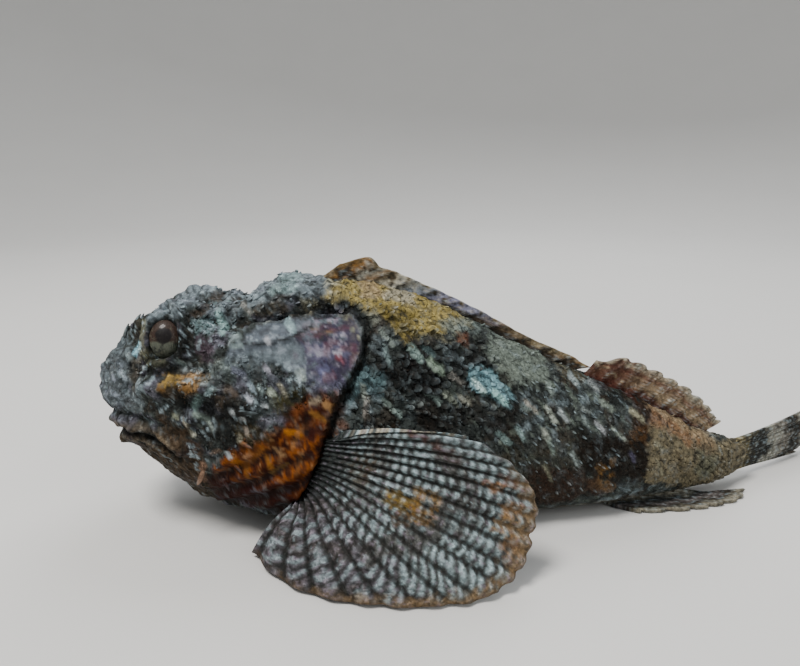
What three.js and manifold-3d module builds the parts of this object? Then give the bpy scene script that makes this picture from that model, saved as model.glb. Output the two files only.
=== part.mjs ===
import * as THREE from 'three';
import { mergeVertices } from 'three/addons/utils/BufferGeometryUtils.js';
import Module from 'manifold-3d';

const wasm = await Module();
wasm.setup();
const { Manifold, Mesh: SolidMesh } = wasm;

// A resting scorpionfish in millimetres. +X runs toward the tail, the left side faces -Y, +Z is up.
// The belly rests on z = 0 and the origin lies on it, below the roots of the pectoral fins.

// Overall sizes
const SNOUT_X = -85;
const BODY_LENGTH = 252;
const BEND_START = 180;
const BEND_RADIUS = 152;
const NODE_GAP = 0.3;
const RING_SIDES = 36;
const HEAD_RING_STEP = 4.4;
const TRUNK_RING_STEP = 8;
const HEAD_LENGTH = 100;

// Eyes
const EYE_RADIUS = 8.75;
const EYE_CENTRE = [-54.5, 14, 70.3];
const LID_RADIUS = 8.6;
const LID_THICKNESS = 1.7;

// Gill covers
const COVER_RISE = 0.9;
const COVER_DEPTH = 4;

// Fins
const PECTORAL_RAYS = 19;
const PELVIC_RAYS = 6;
const DORSAL_SPINES = 12;
const SOFT_RAYS = 10;
const ANAL_RAYS = 8;
const CAUDAL_RAYS = 13;
const MEMBRANE_HALF = 0.55;
const RAY_RISE = 0.65;

// Colours
const GREY_BROWN = { color: 0x5b5a4e, roughness: 0.72 };
const FLANK_BROWN = { color: 0x4c4c40, roughness: 0.74 };
const COVER_GREY = { color: 0x8d8a90, roughness: 0.62 };
const JAW_BROWN = { color: 0x6b4a3a, roughness: 0.7 };
const TAIL_TAN = { color: 0x7d7258, roughness: 0.7 };
const FIN_BANDED = { color: 0x8b8478, roughness: 0.66 };
const FIN_BROWN = { color: 0x6a5540, roughness: 0.68 };
const EYE_BROWN = { color: 0x3b3226, roughness: 0.25 };

// Stations along the body: distance from the snout, top and bottom heights, half width,
// height of the widest level, and how square the upper and lower halves of the section are.
const STATIONS = [
  { s: 0, top: 53, bottom: 42, half: 5, level: 48, upper: 2, lower: 1.9 },
  { s: 3, top: 57.5, bottom: 33.5, half: 11.5, level: 44, upper: 2, lower: 1.8 },
  { s: 7, top: 62.5, bottom: 27.5, half: 16.5, level: 42, upper: 2.1, lower: 1.7 },
  { s: 13, top: 69, bottom: 20, half: 20.5, level: 41, upper: 2.2, lower: 1.7 },
  { s: 20, top: 74, bottom: 14.5, half: 24, level: 41, upper: 2.3, lower: 1.7 },
  { s: 29, top: 78.5, bottom: 8, half: 27.5, level: 41, upper: 2.3, lower: 1.7 },
  { s: 39, top: 81, bottom: 3.5, half: 31, level: 40, upper: 2.25, lower: 1.75 },
  { s: 48, top: 82.5, bottom: 1.5, half: 33.5, level: 39, upper: 2.2, lower: 1.85 },
  { s: 60, top: 84.5, bottom: 0, half: 36, level: 38, upper: 2.1, lower: 2.05 },
  { s: 70, top: 88, bottom: -1.2, half: 37.5, level: 37, upper: 2, lower: 2.3 },
  { s: 88, top: 90, bottom: -1.5, half: 38, level: 36, upper: 1.9, lower: 2.3 },
  { s: 100, top: 88.5, bottom: -1.5, half: 37.5, level: 35, upper: 1.85, lower: 2.3 },
  { s: 116, top: 84, bottom: -1.5, half: 35.5, level: 34, upper: 1.8, lower: 2.3 },
  { s: 134, top: 76.5, bottom: -1.5, half: 31.5, level: 31, upper: 1.8, lower: 2.3 },
  { s: 157, top: 64.5, bottom: -1, half: 26, level: 27, upper: 1.8, lower: 2.2 },
  { s: 172, top: 57.5, bottom: -0.6, half: 22, level: 24, upper: 1.85, lower: 2.2 },
  { s: 188, top: 50, bottom: 0.2, half: 18, level: 21, upper: 1.9, lower: 2.1 },
  { s: 212, top: 38, bottom: 1.2, half: 12.5, level: 18, upper: 2, lower: 2 },
  { s: 228, top: 29, bottom: 1.6, half: 9.5, level: 15, upper: 2, lower: 2 },
  { s: 243, top: 22.5, bottom: 1.8, half: 7, level: 13, upper: 2, lower: 2 },
  { s: 252, top: 19.5, bottom: 2.4, half: 5, level: 11.5, upper: 2, lower: 2 },
];

// Ridges and hollows of the head and shoulder, on both sides: a line in space, how far
// round it the skin is lifted, and by how much.
const RELIEF = [
  { name: 'brow', from: [-67, 10.5, 74], to: [-46, 13.5, 81], reach: 4.6, rise: 4.6 },
  { name: 'brow end', from: [-46, 13.5, 81], to: [-37, 15, 82], reach: 4.4, rise: 3.4 },
  { name: 'forehead hollow', from: [-64, 0, 76], to: [-42, 0, 80], reach: 6, rise: -3.2 },
  { name: 'crown pit', from: [-30, 0, 84], to: [-27, 0, 85], reach: 5.5, rise: -2.6 },
  { name: 'nape ridge', from: [-25, 10, 83], to: [-8, 11, 87], reach: 3.8, rise: 3 },
  { name: 'nape pit', from: [1, 17.5, 82], to: [5, 18, 81], reach: 5, rise: -3.6 },
  { name: 'temple pit', from: [-19, 18.5, 80], to: [-14, 19, 80], reach: 4.2, rise: -2.6 },
  { name: 'brow pit', from: [-31, 18, 78], to: [-29, 18, 78], reach: 4, rise: -2.2 },
  { name: 'cheek ridge', from: [-62, 24, 56], to: [-38, 31, 57], reach: 3.6, rise: 3 },
  { name: 'cheek ridge end', from: [-38, 31, 57], to: [-24, 35, 50], reach: 3.6, rise: 2 },
  { name: 'eye hollow', from: [-48, 26, 63], to: [-40, 28, 65], reach: 4.5, rise: -2.2 },
  { name: 'nostril', from: [-77, 9, 59], to: [-76, 9.5, 60], reach: 2.4, rise: -2.2 },
  { name: 'nose ridge', from: [-80, 5, 58], to: [-69, 6, 70], reach: 2.8, rise: 1.8 },
  { name: 'front lip', from: [-83.5, 0, 39], to: [-79, 14, 39.8], reach: 2.6, rise: 1.5 },
  { name: 'upper lip', from: [-79, 14, 39.8], to: [-66, 22, 40.2], reach: 2.6, rise: 1.7 },
  { name: 'jaw bone', from: [-66, 22, 40.2], to: [-48, 28.5, 36], reach: 3.2, rise: 2.2 },
  { name: 'lower lip', from: [-81.5, 0, 32], to: [-74, 14, 32.6], reach: 2.2, rise: 1.4 },
  { name: 'lower lip side', from: [-74, 14, 32.6], to: [-53, 25, 30], reach: 2.6, rise: 1.4 },
  { name: 'shoulder', from: [16, 25, 68], to: [34, 27, 60], reach: 7, rise: 1.6 },
];

// The outline of a gill cover, and of the lower jaw, seen from the side.
const COVER_OUTLINE = [
  [-27, 70], [-18, 78], [0, 81.5], [10, 81], [14.5, 76], [14, 69], [10, 61], [5, 53],
  [1, 45], [-2, 38], [-8, 27], [-17, 15], [-28, 10], [-34, 19], [-33, 40], [-30, 58],
];
const JAW_OUTLINE = [
  [-96, 36.2], [-84, 35.2], [-66, 36.4], [-56, 35.4], [-47, 31.5], [-42, 26], [-38, 13], [-34, -6],
  [-96, -6],
];
// The line on which the head ends, from above the nape to below the throat.
const HEAD_END = [[-9, 110], [-3, 84], [4, 68], [1, 52], [-5, 36], [-13, 20], [-22, 6], [-24, -6]];

let seed = 20417;
function random() {
  seed = (seed * 1664525 + 1013904223) % 4294967296;
  return seed / 4294967296;
}
const between = (low, high) => low + (high - low) * random();
const mix = (a, b, t) => a + (b - a) * t;
const clamp01 = (t) => Math.min(1, Math.max(0, t));

// A smooth curve through [place, value] pairs that never overshoots them.
function smoothTable(pairs) {
  const slopes = pairs.map((pair, i) => {
    if (i === 0 || i === pairs.length - 1) return 0;
    const before = (pair[1] - pairs[i - 1][1]) / (pair[0] - pairs[i - 1][0]);
    const after = (pairs[i + 1][1] - pair[1]) / (pairs[i + 1][0] - pair[0]);
    return before * after <= 0 ? 0 : (2 * before * after) / (before + after);
  });
  return (place) => {
    const last = pairs.length - 1;
    if (place <= pairs[0][0]) return pairs[0][1];
    if (place >= pairs[last][0]) return pairs[last][1];
    let i = 0;
    while (place > pairs[i + 1][0]) i += 1;
    const width = pairs[i + 1][0] - pairs[i][0];
    const t = (place - pairs[i][0]) / width;
    const rest = 1 - t;
    return (1 + 2 * t) * rest * rest * pairs[i][1] + t * rest * rest * width * slopes[i]
      + t * t * (3 - 2 * t) * pairs[i + 1][1] - t * t * rest * width * slopes[i + 1];
  };
}
const column = (key) => smoothTable(STATIONS.map((station) => [station.s, station[key]]));
const body = {
  top: column('top'),
  bottom: column('bottom'),
  half: column('half'),
  level: column('level'),
  upper: column('upper'),
  lower: column('lower'),
};

// A curve in space through [place, x, y, z] rows.
function smoothPath(rows) {
  const x = smoothTable(rows.map((row) => [row[0], row[1]]));
  const y = smoothTable(rows.map((row) => [row[0], row[2]]));
  const z = smoothTable(rows.map((row) => [row[0], row[3]]));
  return (place) => new THREE.Vector3(x(place), y(place), z(place));
}

// The midline runs straight, then bends away to the right in the tail.
function midline(s) {
  const turn = Math.max(0, s - BEND_START) / BEND_RADIUS;
  if (turn === 0) return { x: SNOUT_X + s, y: 0, along: [1, 0], across: [0, 1] };
  return {
    x: SNOUT_X + BEND_START + BEND_RADIUS * Math.sin(turn),
    y: BEND_RADIUS * (1 - Math.cos(turn)),
    along: [Math.cos(turn), Math.sin(turn)],
    across: [-Math.sin(turn), Math.cos(turn)],
  };
}

const power = (value, exponent) => Math.sign(value) * Math.abs(value) ** (2 / exponent);

// A point of the smooth body at distance s, at an angle round the section: 0 is the right
// side, a quarter turn the back, a half turn the left side.
function sectionPoint(s, angle, grow) {
  const level = body.level(s);
  const up = Math.sin(angle) >= 0;
  const exponent = up ? body.upper(s) : body.lower(s);
  const sideways = (body.half(s) + grow) * power(Math.cos(angle), exponent);
  const reach = (up ? body.top(s) - level : level - body.bottom(s)) + grow;
  const place = midline(s);
  return new THREE.Vector3(
    place.x + place.across[0] * sideways,
    place.y + place.across[1] * sideways,
    level + reach * power(Math.sin(angle), exponent),
  );
}

function sectionNormal(s, angle) {
  const ahead = sectionPoint(Math.min(s + 0.5, BODY_LENGTH), angle, 0);
  const behind = sectionPoint(Math.max(s - 0.5, 0), angle, 0);
  const round = sectionPoint(s, angle + 0.02, 0).sub(sectionPoint(s, angle - 0.02, 0));
  return round.cross(ahead.sub(behind)).normalize();
}

// How far the relief lifts the skin at a point.
function relief(point) {
  let lift = 0;
  for (const ridge of RELIEF) {
    const start = new THREE.Vector3(...ridge.from);
    const line = new THREE.Vector3(...ridge.to).sub(start);
    const offset = new THREE.Vector3(point.x, Math.abs(point.y), point.z).sub(start);
    const t = clamp01(offset.dot(line) / line.lengthSq());
    const distance = offset.addScaledVector(line, -t).length();
    if (distance < 3 * ridge.reach) lift += ridge.rise * Math.exp(-((distance / ridge.reach) ** 2));
  }
  return lift;
}

function skinPoint(s, angle, grow = 0) {
  const point = sectionPoint(s, angle, grow);
  return point.addScaledVector(sectionNormal(s, angle), relief(point));
}

// Solids from grids of points
function indexedGeometry(points, triangles) {
  const geometry = new THREE.BufferGeometry();
  const positions = points.flatMap((point) => [point.x, point.y, point.z]);
  geometry.setAttribute('position', new THREE.Float32BufferAttribute(positions, 3));
  geometry.setIndex(triangles);
  return geometry;
}

function toSolid(geometry) {
  let plain = geometry.clone();
  plain.deleteAttribute('normal');
  plain.deleteAttribute('uv');
  plain = mergeVertices(plain, 1e-4);
  const make = () => {
    const mesh = new SolidMesh({
      numProp: 3,
      vertProperties: new Float32Array(plain.attributes.position.array),
      triVerts: new Uint32Array(plain.index.array),
    });
    return new Manifold(mesh);
  };
  const solid = make();
  if (solid.volume() >= 0) return solid;
  const index = plain.index.array;
  for (let i = 0; i < index.length; i += 3) [index[i], index[i + 1]] = [index[i + 1], index[i]];
  return make();
}

// A closed solid through rings of points with equal counts; the ends are closed by fans.
function loft(rings) {
  const points = rings.flat();
  const sides = rings[0].length;
  const triangles = [];
  for (let r = 0; r + 1 < rings.length; r += 1) {
    for (let k = 0; k < sides; k += 1) {
      const a = r * sides + k;
      const b = r * sides + ((k + 1) % sides);
      triangles.push(a, b, b + sides, a, b + sides, a + sides);
    }
  }
  [0, rings.length - 1].forEach((r) => {
    const centre = rings[r].reduce((sum, point) => sum.add(point), new THREE.Vector3());
    points.push(centre.divideScalar(sides));
    for (let k = 0; k < sides; k += 1) {
      const a = r * sides + k;
      const b = r * sides + ((k + 1) % sides);
      if (r === 0) triangles.push(b, a, points.length - 1);
      else triangles.push(a, b, points.length - 1);
    }
  });
  return toSolid(indexedGeometry(points, triangles));
}

// The whole body, made larger or smaller all round by grow; its underside is cut flat at floor.
// The tools for faces that are never seen are built with coarser rings.
function bodySolid(grow, floor = 0, coarse = 1) {
  const places = [0, 1.4];
  while (places.at(-1) < BODY_LENGTH) {
    const step = places.at(-1) < HEAD_LENGTH ? HEAD_RING_STEP : TRUNK_RING_STEP;
    places.push(Math.min(places.at(-1) + step * coarse, BODY_LENGTH));
  }
  const sides = RING_SIDES / coarse;
  const rings = places.map((s) => Array.from({ length: sides }, (_, k) => {
    const point = skinPoint(s, (2 * Math.PI * k) / sides, grow);
    if (s === 0) point.x -= grow;
    if (s === BODY_LENGTH) {
      point.x += grow * midline(s).along[0];
      point.y += grow * midline(s).along[1];
    }
    point.z = Math.max(point.z, floor);
    return point;
  }));
  return loft(rings);
}

// A plate between two like grids: point(f, t) is its middle surface, f across the rays and
// t from root to edge; half(f, t) is half its thickness. Nothing reaches below the floor.
function plate({ across, out, point, half }) {
  const front = [];
  const back = [];
  const step = 1e-3;
  for (let i = 0; i <= across; i += 1) {
    for (let j = 0; j <= out; j += 1) {
      const f = i / across;
      const t = j / out;
      const alongF = point(Math.min(f + step, 1), t).sub(point(Math.max(f - step, 0), t));
      const alongT = point(f, Math.min(t + step, 1)).sub(point(f, Math.max(t - step, 0)));
      const normal = alongF.cross(alongT).normalize();
      const middle = point(f, t);
      const above = middle.clone().addScaledVector(normal, half(f, t));
      const below = middle.clone().addScaledVector(normal, -half(f, t));
      above.z = Math.max(above.z, 0);
      below.z = Math.max(below.z, 0);
      front.push(above);
      back.push(below);
    }
  }
  const count = front.length;
  const row = out + 1;
  const triangles = [];
  for (let i = 0; i < across; i += 1) {
    for (let j = 0; j < out; j += 1) {
      const a = i * row + j;
      triangles.push(a, a + row, a + row + 1, a, a + row + 1, a + 1);
      const b = a + count;
      triangles.push(b, b + row + 1, b + row, b, b + 1, b + row + 1);
    }
  }
  const rim = [];
  for (let i = 0; i < across; i += 1) rim.push(i * row);
  for (let j = 0; j < out; j += 1) rim.push(across * row + j);
  for (let i = across; i > 0; i -= 1) rim.push(i * row + out);
  for (let j = out; j > 0; j -= 1) rim.push(j);
  rim.forEach((a, k) => {
    const b = rim[(k + 1) % rim.length];
    triangles.push(a, a + count, b + count, a, b + count, b);
  });
  return toSolid(indexedGeometry([...front, ...back], triangles));
}

// Rays as ridges: 1 on a ray, 0 between rays.
const onRay = (f, rays) => Math.max(0, Math.cos(2 * Math.PI * f * (rays - 1)));

// A spine or a flap: a bent taper from a root that is sunk into the skin.
function taper({ root, direction, bend, length, width, thickness, sides = 4 }) {
  const out = new THREE.Vector3(...direction).normalize();
  const curl = new THREE.Vector3(...bend);
  let side = new THREE.Vector3().crossVectors(out, curl);
  if (side.lengthSq() < 1e-6) side = new THREE.Vector3().crossVectors(out, new THREE.Vector3(0, 0, 1));
  side.normalize();
  const flat = new THREE.Vector3().crossVectors(side, out).normalize();
  const rings = [[0, 1], [0.6, 0.75], [1, 0.14]].map(([t, size]) => {
    const centre = new THREE.Vector3(...root).addScaledVector(out, length * t)
      .addScaledVector(curl, length * t * t * 0.5);
    return Array.from({ length: sides }, (_, k) => {
      const angle = (2 * Math.PI * k) / sides;
      return centre.clone().addScaledVector(side, width * 0.5 * size * Math.cos(angle))
        .addScaledVector(flat, thickness * 0.5 * size * Math.sin(angle));
    });
  });
  return loft(rings);
}

// A form on the skin at distance s and angle, leaning from the skin's normal toward lean.
function onSkin(s, angle, lean, form) {
  const normal = sectionNormal(s, angle);
  const direction = normal.clone().add(new THREE.Vector3(...lean)).normalize();
  const root = skinPoint(s, angle).addScaledVector(normal, -1.8);
  return taper({ root: root.toArray(), direction: direction.toArray(), bend: [0.5, 0, -0.2], ...form });
}

// A prism across the whole body from an outline seen from the side.
function sidePrism(outline, fromY, toY) {
  const shape = new THREE.Shape(outline.map(([x, z]) => new THREE.Vector2(x, z)));
  const geometry = new THREE.ExtrudeGeometry(shape, { depth: toY - fromY, bevelEnabled: false });
  geometry.rotateX(Math.PI / 2);
  geometry.translate(0, toY, 0);
  return toSolid(geometry);
}

// An outline moved outward by a distance along its corners.
function widen(outline, distance) {
  const size = outline.length;
  const area = outline.reduce((sum, [x, z], i) => {
    const [nextX, nextZ] = outline[(i + 1) % size];
    return sum + x * nextZ - nextX * z;
  }, 0);
  const turn = Math.sign(area);
  return outline.map(([x, z], i) => {
    const [beforeX, beforeZ] = outline[(i + size - 1) % size];
    const [afterX, afterZ] = outline[(i + 1) % size];
    const first = new THREE.Vector2(z - beforeZ, beforeX - x).normalize();
    const second = new THREE.Vector2(afterZ - z, x - afterX).normalize();
    const both = first.clone().add(second).normalize();
    const length = (turn * distance) / Math.max(0.5, both.dot(first));
    return [x + both.x * length, z + both.y * length];
  });
}

const mirrored = (solid) => solid.mirror([0, 1, 0]);

function largestPiece(solid) {
  const pieces = solid.decompose();
  return pieces.reduce((best, piece) => (piece.volume() > best.volume() ? piece : best));
}

const material = (look) => new THREE.MeshStandardMaterial({ ...look, metalness: 0 });

function node(name, solid, look) {
  const { vertProperties, triVerts } = largestPiece(solid).getMesh();
  const geometry = new THREE.BufferGeometry();
  geometry.setAttribute('position', new THREE.BufferAttribute(new Float32Array(vertProperties), 3));
  geometry.setIndex(new THREE.BufferAttribute(new Uint32Array(triVerts), 1));
  geometry.computeVertexNormals();
  const mesh = new THREE.Mesh(geometry, material(look));
  mesh.name = name;
  return mesh;
}

// The body and the tools that part it
const whole = bodySolid(0);
const grown = bodySolid(NODE_GAP, -NODE_GAP);
const inner = bodySolid(-COVER_DEPTH, COVER_DEPTH, 2);
const deeper = bodySolid(-COVER_DEPTH - NODE_GAP, COVER_DEPTH + NODE_GAP, 2);
const raised = bodySolid(COVER_RISE);

const headRegion = [...HEAD_END, [-110, -6], [-110, 110]];
const tailRegion = [[104, 110], [107, -6], [240, -6], [240, 110]];
const frontTool = sidePrism(headRegion, -60, 60);
const frontToolWide = sidePrism(HEAD_END.map(([x, z]) => [x + NODE_GAP, z])
  .concat([[-110, -6], [-110, 110]]), -60, 60);
const tailTool = sidePrism(tailRegion, -60, 60);
const tailToolWide = sidePrism(tailRegion.map(([x, z]) => [x - NODE_GAP, z]), -60, 60);
const jawTool = sidePrism(JAW_OUTLINE, -60, 60);
const jawToolWide = sidePrism(widen(JAW_OUTLINE, NODE_GAP), -60, 60);

// Gill covers
const coverLeft = raised.subtract(inner).intersect(sidePrism(COVER_OUTLINE, -60, -8));
const coverRecess = sidePrism(widen(COVER_OUTLINE, NODE_GAP), -60, -7.6).subtract(deeper);
const recesses = coverRecess.add(mirrored(coverRecess));

function opercularSpines() {
  const rows = [
    { s: 88, angle: Math.PI - 0.86, length: 9, width: 3.2 },
    { s: 84, angle: Math.PI - 0.62, length: 8, width: 3 },
  ];
  return rows.map((row) => onSkin(row.s, row.angle, [2.6, 0, 0.2], {
    length: row.length, width: row.width, thickness: 2.4, bend: [0.2, 0, 0],
  }));
}

// Eyes, with a raised rim that the socket is cut from
function eyeSolid(side) {
  const geometry = new THREE.SphereGeometry(EYE_RADIUS, 20, 12);
  geometry.translate(EYE_CENTRE[0], side * EYE_CENTRE[1], EYE_CENTRE[2]);
  return toSolid(geometry);
}

function eyeRim(side) {
  const geometry = new THREE.TorusGeometry(LID_RADIUS, LID_THICKNESS, 6, 20);
  geometry.rotateX(Math.PI / 2);
  geometry.rotateX(side * -0.32);
  geometry.translate(EYE_CENTRE[0] + 0.6, side * (EYE_CENTRE[1] + 3.2), EYE_CENTRE[2] + 0.8);
  return toSolid(geometry);
}

function socket(side) {
  const geometry = new THREE.SphereGeometry(EYE_RADIUS + NODE_GAP, 20, 12);
  geometry.translate(EYE_CENTRE[0], side * EYE_CENTRE[1], EYE_CENTRE[2]);
  return toSolid(geometry);
}

// Spines and skin flaps of the head; angles are measured from the left side upward.
const HEAD_SPINES = [
  { name: 'nose', s: 14, up: 1.3, length: 6.5, width: 3, lean: [0.9, 0, 0.2] },
  { name: 'before eye', s: 21, up: 1.2, length: 6, width: 3, lean: [1, 0, 0.2] },
  { name: 'above eye', s: 33, up: 1.13, length: 7, width: 3.2, lean: [1.2, 0, 0.2] },
  { name: 'behind eye', s: 44, up: 1.1, length: 7.5, width: 3.4, lean: [1.3, 0, 0.1] },
  { name: 'ear', s: 55, up: 0.94, length: 6, width: 3, lean: [1.6, 0, 0] },
  { name: 'crown', s: 63, up: 1.24, length: 6.5, width: 3.6, lean: [1.4, 0, 0] },
  { name: 'nape', s: 73, up: 1.2, length: 6, width: 3.4, lean: [2.2, 0, 0] },
  { name: 'temple low', s: 66, up: 0.86, length: 6.5, width: 3, lean: [1.7, 0, 0] },
  { name: 'under eye', s: 38, up: 0.42, length: 6, width: 3.2, lean: [1.4, 0, 0.1] },
  { name: 'cheek', s: 50, up: 0.4, length: 6.5, width: 3.2, lean: [1.6, 0, 0] },
  { name: 'cheek end', s: 60, up: 0.26, length: 9, width: 3.6, lean: [1.9, 0, 0.1] },
  { name: 'cheek edge', s: 59, up: 0.04, length: 7, width: 3.2, lean: [1.4, 0, -0.4] },
  { name: 'cheek edge low', s: 56, up: -0.2, length: 6, width: 3, lean: [1.1, 0, -0.8] },
  { name: 'cheek edge last', s: 52, up: -0.42, length: 5.5, width: 3, lean: [0.9, 0, -1.1] },
];

function headSpines() {
  return HEAD_SPINES.flatMap((spine) => {
    const left = onSkin(spine.s, Math.PI - spine.up, spine.lean, {
      length: spine.length, width: spine.width, thickness: spine.width * 0.8, bend: [0.3, 0, 0],
    });
    return [left, mirrored(left)];
  });
}

// Loose flaps of skin, placed in a seeded scatter within a band of the body.
function flaps({ count, from, to, low, high, length, lean, sides }) {
  return sides.flatMap((side) => Array.from({ length: count }, (_, k) => {
    const s = mix(from, to, (k + between(0.2, 0.8)) / count);
    const up = mix(low, high, (k * 0.618) % 1) + between(-0.05, 0.05);
    const flap = onSkin(s, Math.PI - up, lean, {
      length: length * between(0.75, 1.2) + 1.8, width: between(2.6, 4), thickness: 1.3,
    });
    return side < 0 ? flap : mirrored(flap);
  }));
}

const headFlaps = [
  ...flaps({ count: 6, from: 40, to: 58, low: -0.1, high: 0.9, length: 3.6, lean: [1, 0, 0], sides: [-1, 1] }),
  ...flaps({ count: 3, from: 12, to: 30, low: 0.2, high: 0.5, length: 4, lean: [0.2, 0, -0.8], sides: [-1, 1] }),
  ...flaps({ count: 2, from: 11, to: 14, low: 0.75, high: 0.95, length: 4.5, lean: [-0.6, 0, 0.3], sides: [-1, 1] }),
  ...flaps({ count: 2, from: 26, to: 40, low: 1.15, high: 1.2, length: 5, lean: [0.6, 0, 1], sides: [-1, 1] }),
];
const chinFlaps = flaps({
  count: 4, from: 14, to: 42, low: -0.95, high: -0.7, length: 3, lean: [0.9, 0, -0.6], sides: [-1, 1],
});
const flankFlaps = [
  ...flaps({ count: 9, from: 112, to: 182, low: 0.25, high: 0.7, length: 3.6, lean: [1.6, 0, -0.3], sides: [-1, 1] }),
  ...flaps({ count: 5, from: 108, to: 176, low: -0.3, high: 0.1, length: 3.2, lean: [1.6, 0, -0.4], sides: [-1, 1] }),
];
const tailFlaps = flaps({
  count: 5, from: 196, to: 236, low: 0, high: 0.8, length: 3, lean: [1.6, 0, -0.2], sides: [-1, 1],
});

// Head, jaw, trunk and tail stalk
const eyes = { left: eyeSolid(-1), right: eyeSolid(1) };
const sockets = socket(-1).add(socket(1));
const headBlock = whole.intersect(frontTool).subtract(recesses)
  .add(eyeRim(-1).add(eyeRim(1)).intersect(frontTool));
const head = Manifold.union([headBlock, ...headSpines(), ...headFlaps])
  .subtract(sockets).subtract(jawToolWide).subtract(recesses);
const jaw = Manifold.union([whole.intersect(jawTool), ...chinFlaps.map((flap) => flap.intersect(jawTool))]);
const trunkBlock = whole.subtract(frontToolWide).subtract(tailToolWide).subtract(recesses);
const trunk = Manifold.union([trunkBlock, ...flankFlaps]).subtract(tailToolWide);
const tail = Manifold.union([whole.intersect(tailTool), ...tailFlaps]);
const cover = Manifold.union([coverLeft, ...opercularSpines()]).subtract(deeper);

// Pectoral fin: a broad fan, its upper rays held out and back, its lower rays on the floor
const pectoralRoot = smoothPath([
  [0, 4, -35, 42], [0.5, 0, -34.5, 30], [1, -6, -30, 17],
]);
const pectoralTip = smoothPath([
  [0, 49, -45, 45.5], [0.12, 63, -48, 37.5], [0.25, 71, -50, 26], [0.38, 69, -54, 14], [0.5, 62, -61, 4.5],
  [0.62, 46, -67.5, 0.9], [0.72, 28, -69, 0.9], [0.82, 9, -66, 0.9], [0.91, -9, -57, 0.9], [1, -23, -40, 1.3],
]);

function pectoralPoint(f, t) {
  const root = pectoralRoot(f);
  const edge = 1 - 0.04 * (1 - onRay(f, PECTORAL_RAYS));
  const tip = pectoralTip(f);
  const bulge = new THREE.Vector3(-2, -9, 7).multiplyScalar(Math.sin(Math.PI * clamp01(t)) * 0.9);
  return root.lerp(tip, t * edge).addScaledVector(bulge, 1 - 0.45 * f);
}
const pectoral = plate({
  across: (PECTORAL_RAYS - 1) * 2,
  out: 7,
  point: pectoralPoint,
  half: (f, t) => mix(2.6, MEMBRANE_HALF, clamp01(t * 4)) + RAY_RISE * onRay(f, PECTORAL_RAYS),
}).subtract(grown);

// Pelvic fin: short, spread flat on the floor beside the belly
const pelvicRoot = smoothPath([[0, 13, -20, 4.5], [1, -1, -20, 4.5]]);
const pelvicTip = smoothPath([
  [0, 56, -24, 1.3], [0.3, 60, -33, 1.2], [0.6, 52, -43, 1.2], [0.85, 38, -48, 1.2], [1, 25, -46, 1.3],
]);
const pelvic = plate({
  across: (PELVIC_RAYS - 1) * 2,
  out: 8,
  point: (f, t) => {
    const edge = 1 - 0.08 * (1 - onRay(f, PELVIC_RAYS));
    const flat = pelvicRoot(f).lerp(pelvicTip(f), t * edge);
    flat.z = mix(4.5, 1.25, clamp01(t * 2.6));
    return flat;
  },
  half: (f, t) => mix(2.6, MEMBRANE_HALF + 0.1, clamp01(t * 2.6)) + RAY_RISE * onRay(f, PELVIC_RAYS),
}).subtract(grown);

// Fins on the midline grow from the back; their rays lean toward the tail.
function backFin({ from, to, rays, height, lean, thickness, out }) {
  return plate({
    across: (rays - 1) * 2,
    out,
    point: (f, t) => {
      const s = mix(from, to, f);
      const place = midline(s);
      const edge = 1 - 0.16 * (1 - onRay(f, rays));
      const rise = height(f) * edge + 3;
      const back = lean(f) * rise * t;
      return new THREE.Vector3(
        place.x + place.along[0] * back,
        place.y + place.along[1] * back,
        body.top(s) - 3 + rise * t + back * ((body.top(s + 4) - body.top(s)) / 4),
      );
    },
    half: (f, t) => mix(thickness, MEMBRANE_HALF, t) + RAY_RISE * onRay(f, rays),
  }).subtract(grown);
}

const spinyHeight = smoothTable([[0, 4], [0.06, 7], [0.14, 5.4], [0.5, 4.2], [0.9, 4.6], [1, 5.4]]);
const spinyDorsal = backFin({
  from: 79, to: 174, rays: DORSAL_SPINES, height: spinyHeight, lean: () => 1.6, thickness: 1.6, out: 5,
});
const softHeight = smoothTable([[0, 7], [0.3, 13.5], [0.65, 13], [1, 6.5]]);
const softDorsal = backFin({
  from: 187, to: 232, rays: SOFT_RAYS, height: softHeight, lean: (f) => 0.75 + 0.5 * f, thickness: 1.5, out: 6,
});

// Anal fin: folded over onto the floor on the left side
const analRoot = smoothPath([[0, 101, -2.5, 3.7], [1, 134, 0.5, 3.7]]);
const analTip = smoothPath([
  [0, 119, -12, 1.2], [0.3, 138, -10, 1.2], [0.6, 154, -5.5, 1.2], [0.85, 164, 0.5, 1.2], [1, 167, 6, 1.2],
]);
const anal = plate({
  across: (ANAL_RAYS - 1) * 2,
  out: 7,
  point: (f, t) => {
    const edge = 1 - 0.08 * (1 - onRay(f, ANAL_RAYS));
    const flat = analRoot(f).lerp(analTip(f), t * edge);
    flat.z = mix(3.7, 1.25, clamp01(t * 2.2));
    return flat;
  },
  half: (f, t) => mix(2, MEMBRANE_HALF + 0.1, clamp01(t * 2.2)) + RAY_RISE * onRay(f, ANAL_RAYS),
}).subtract(grown);

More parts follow.
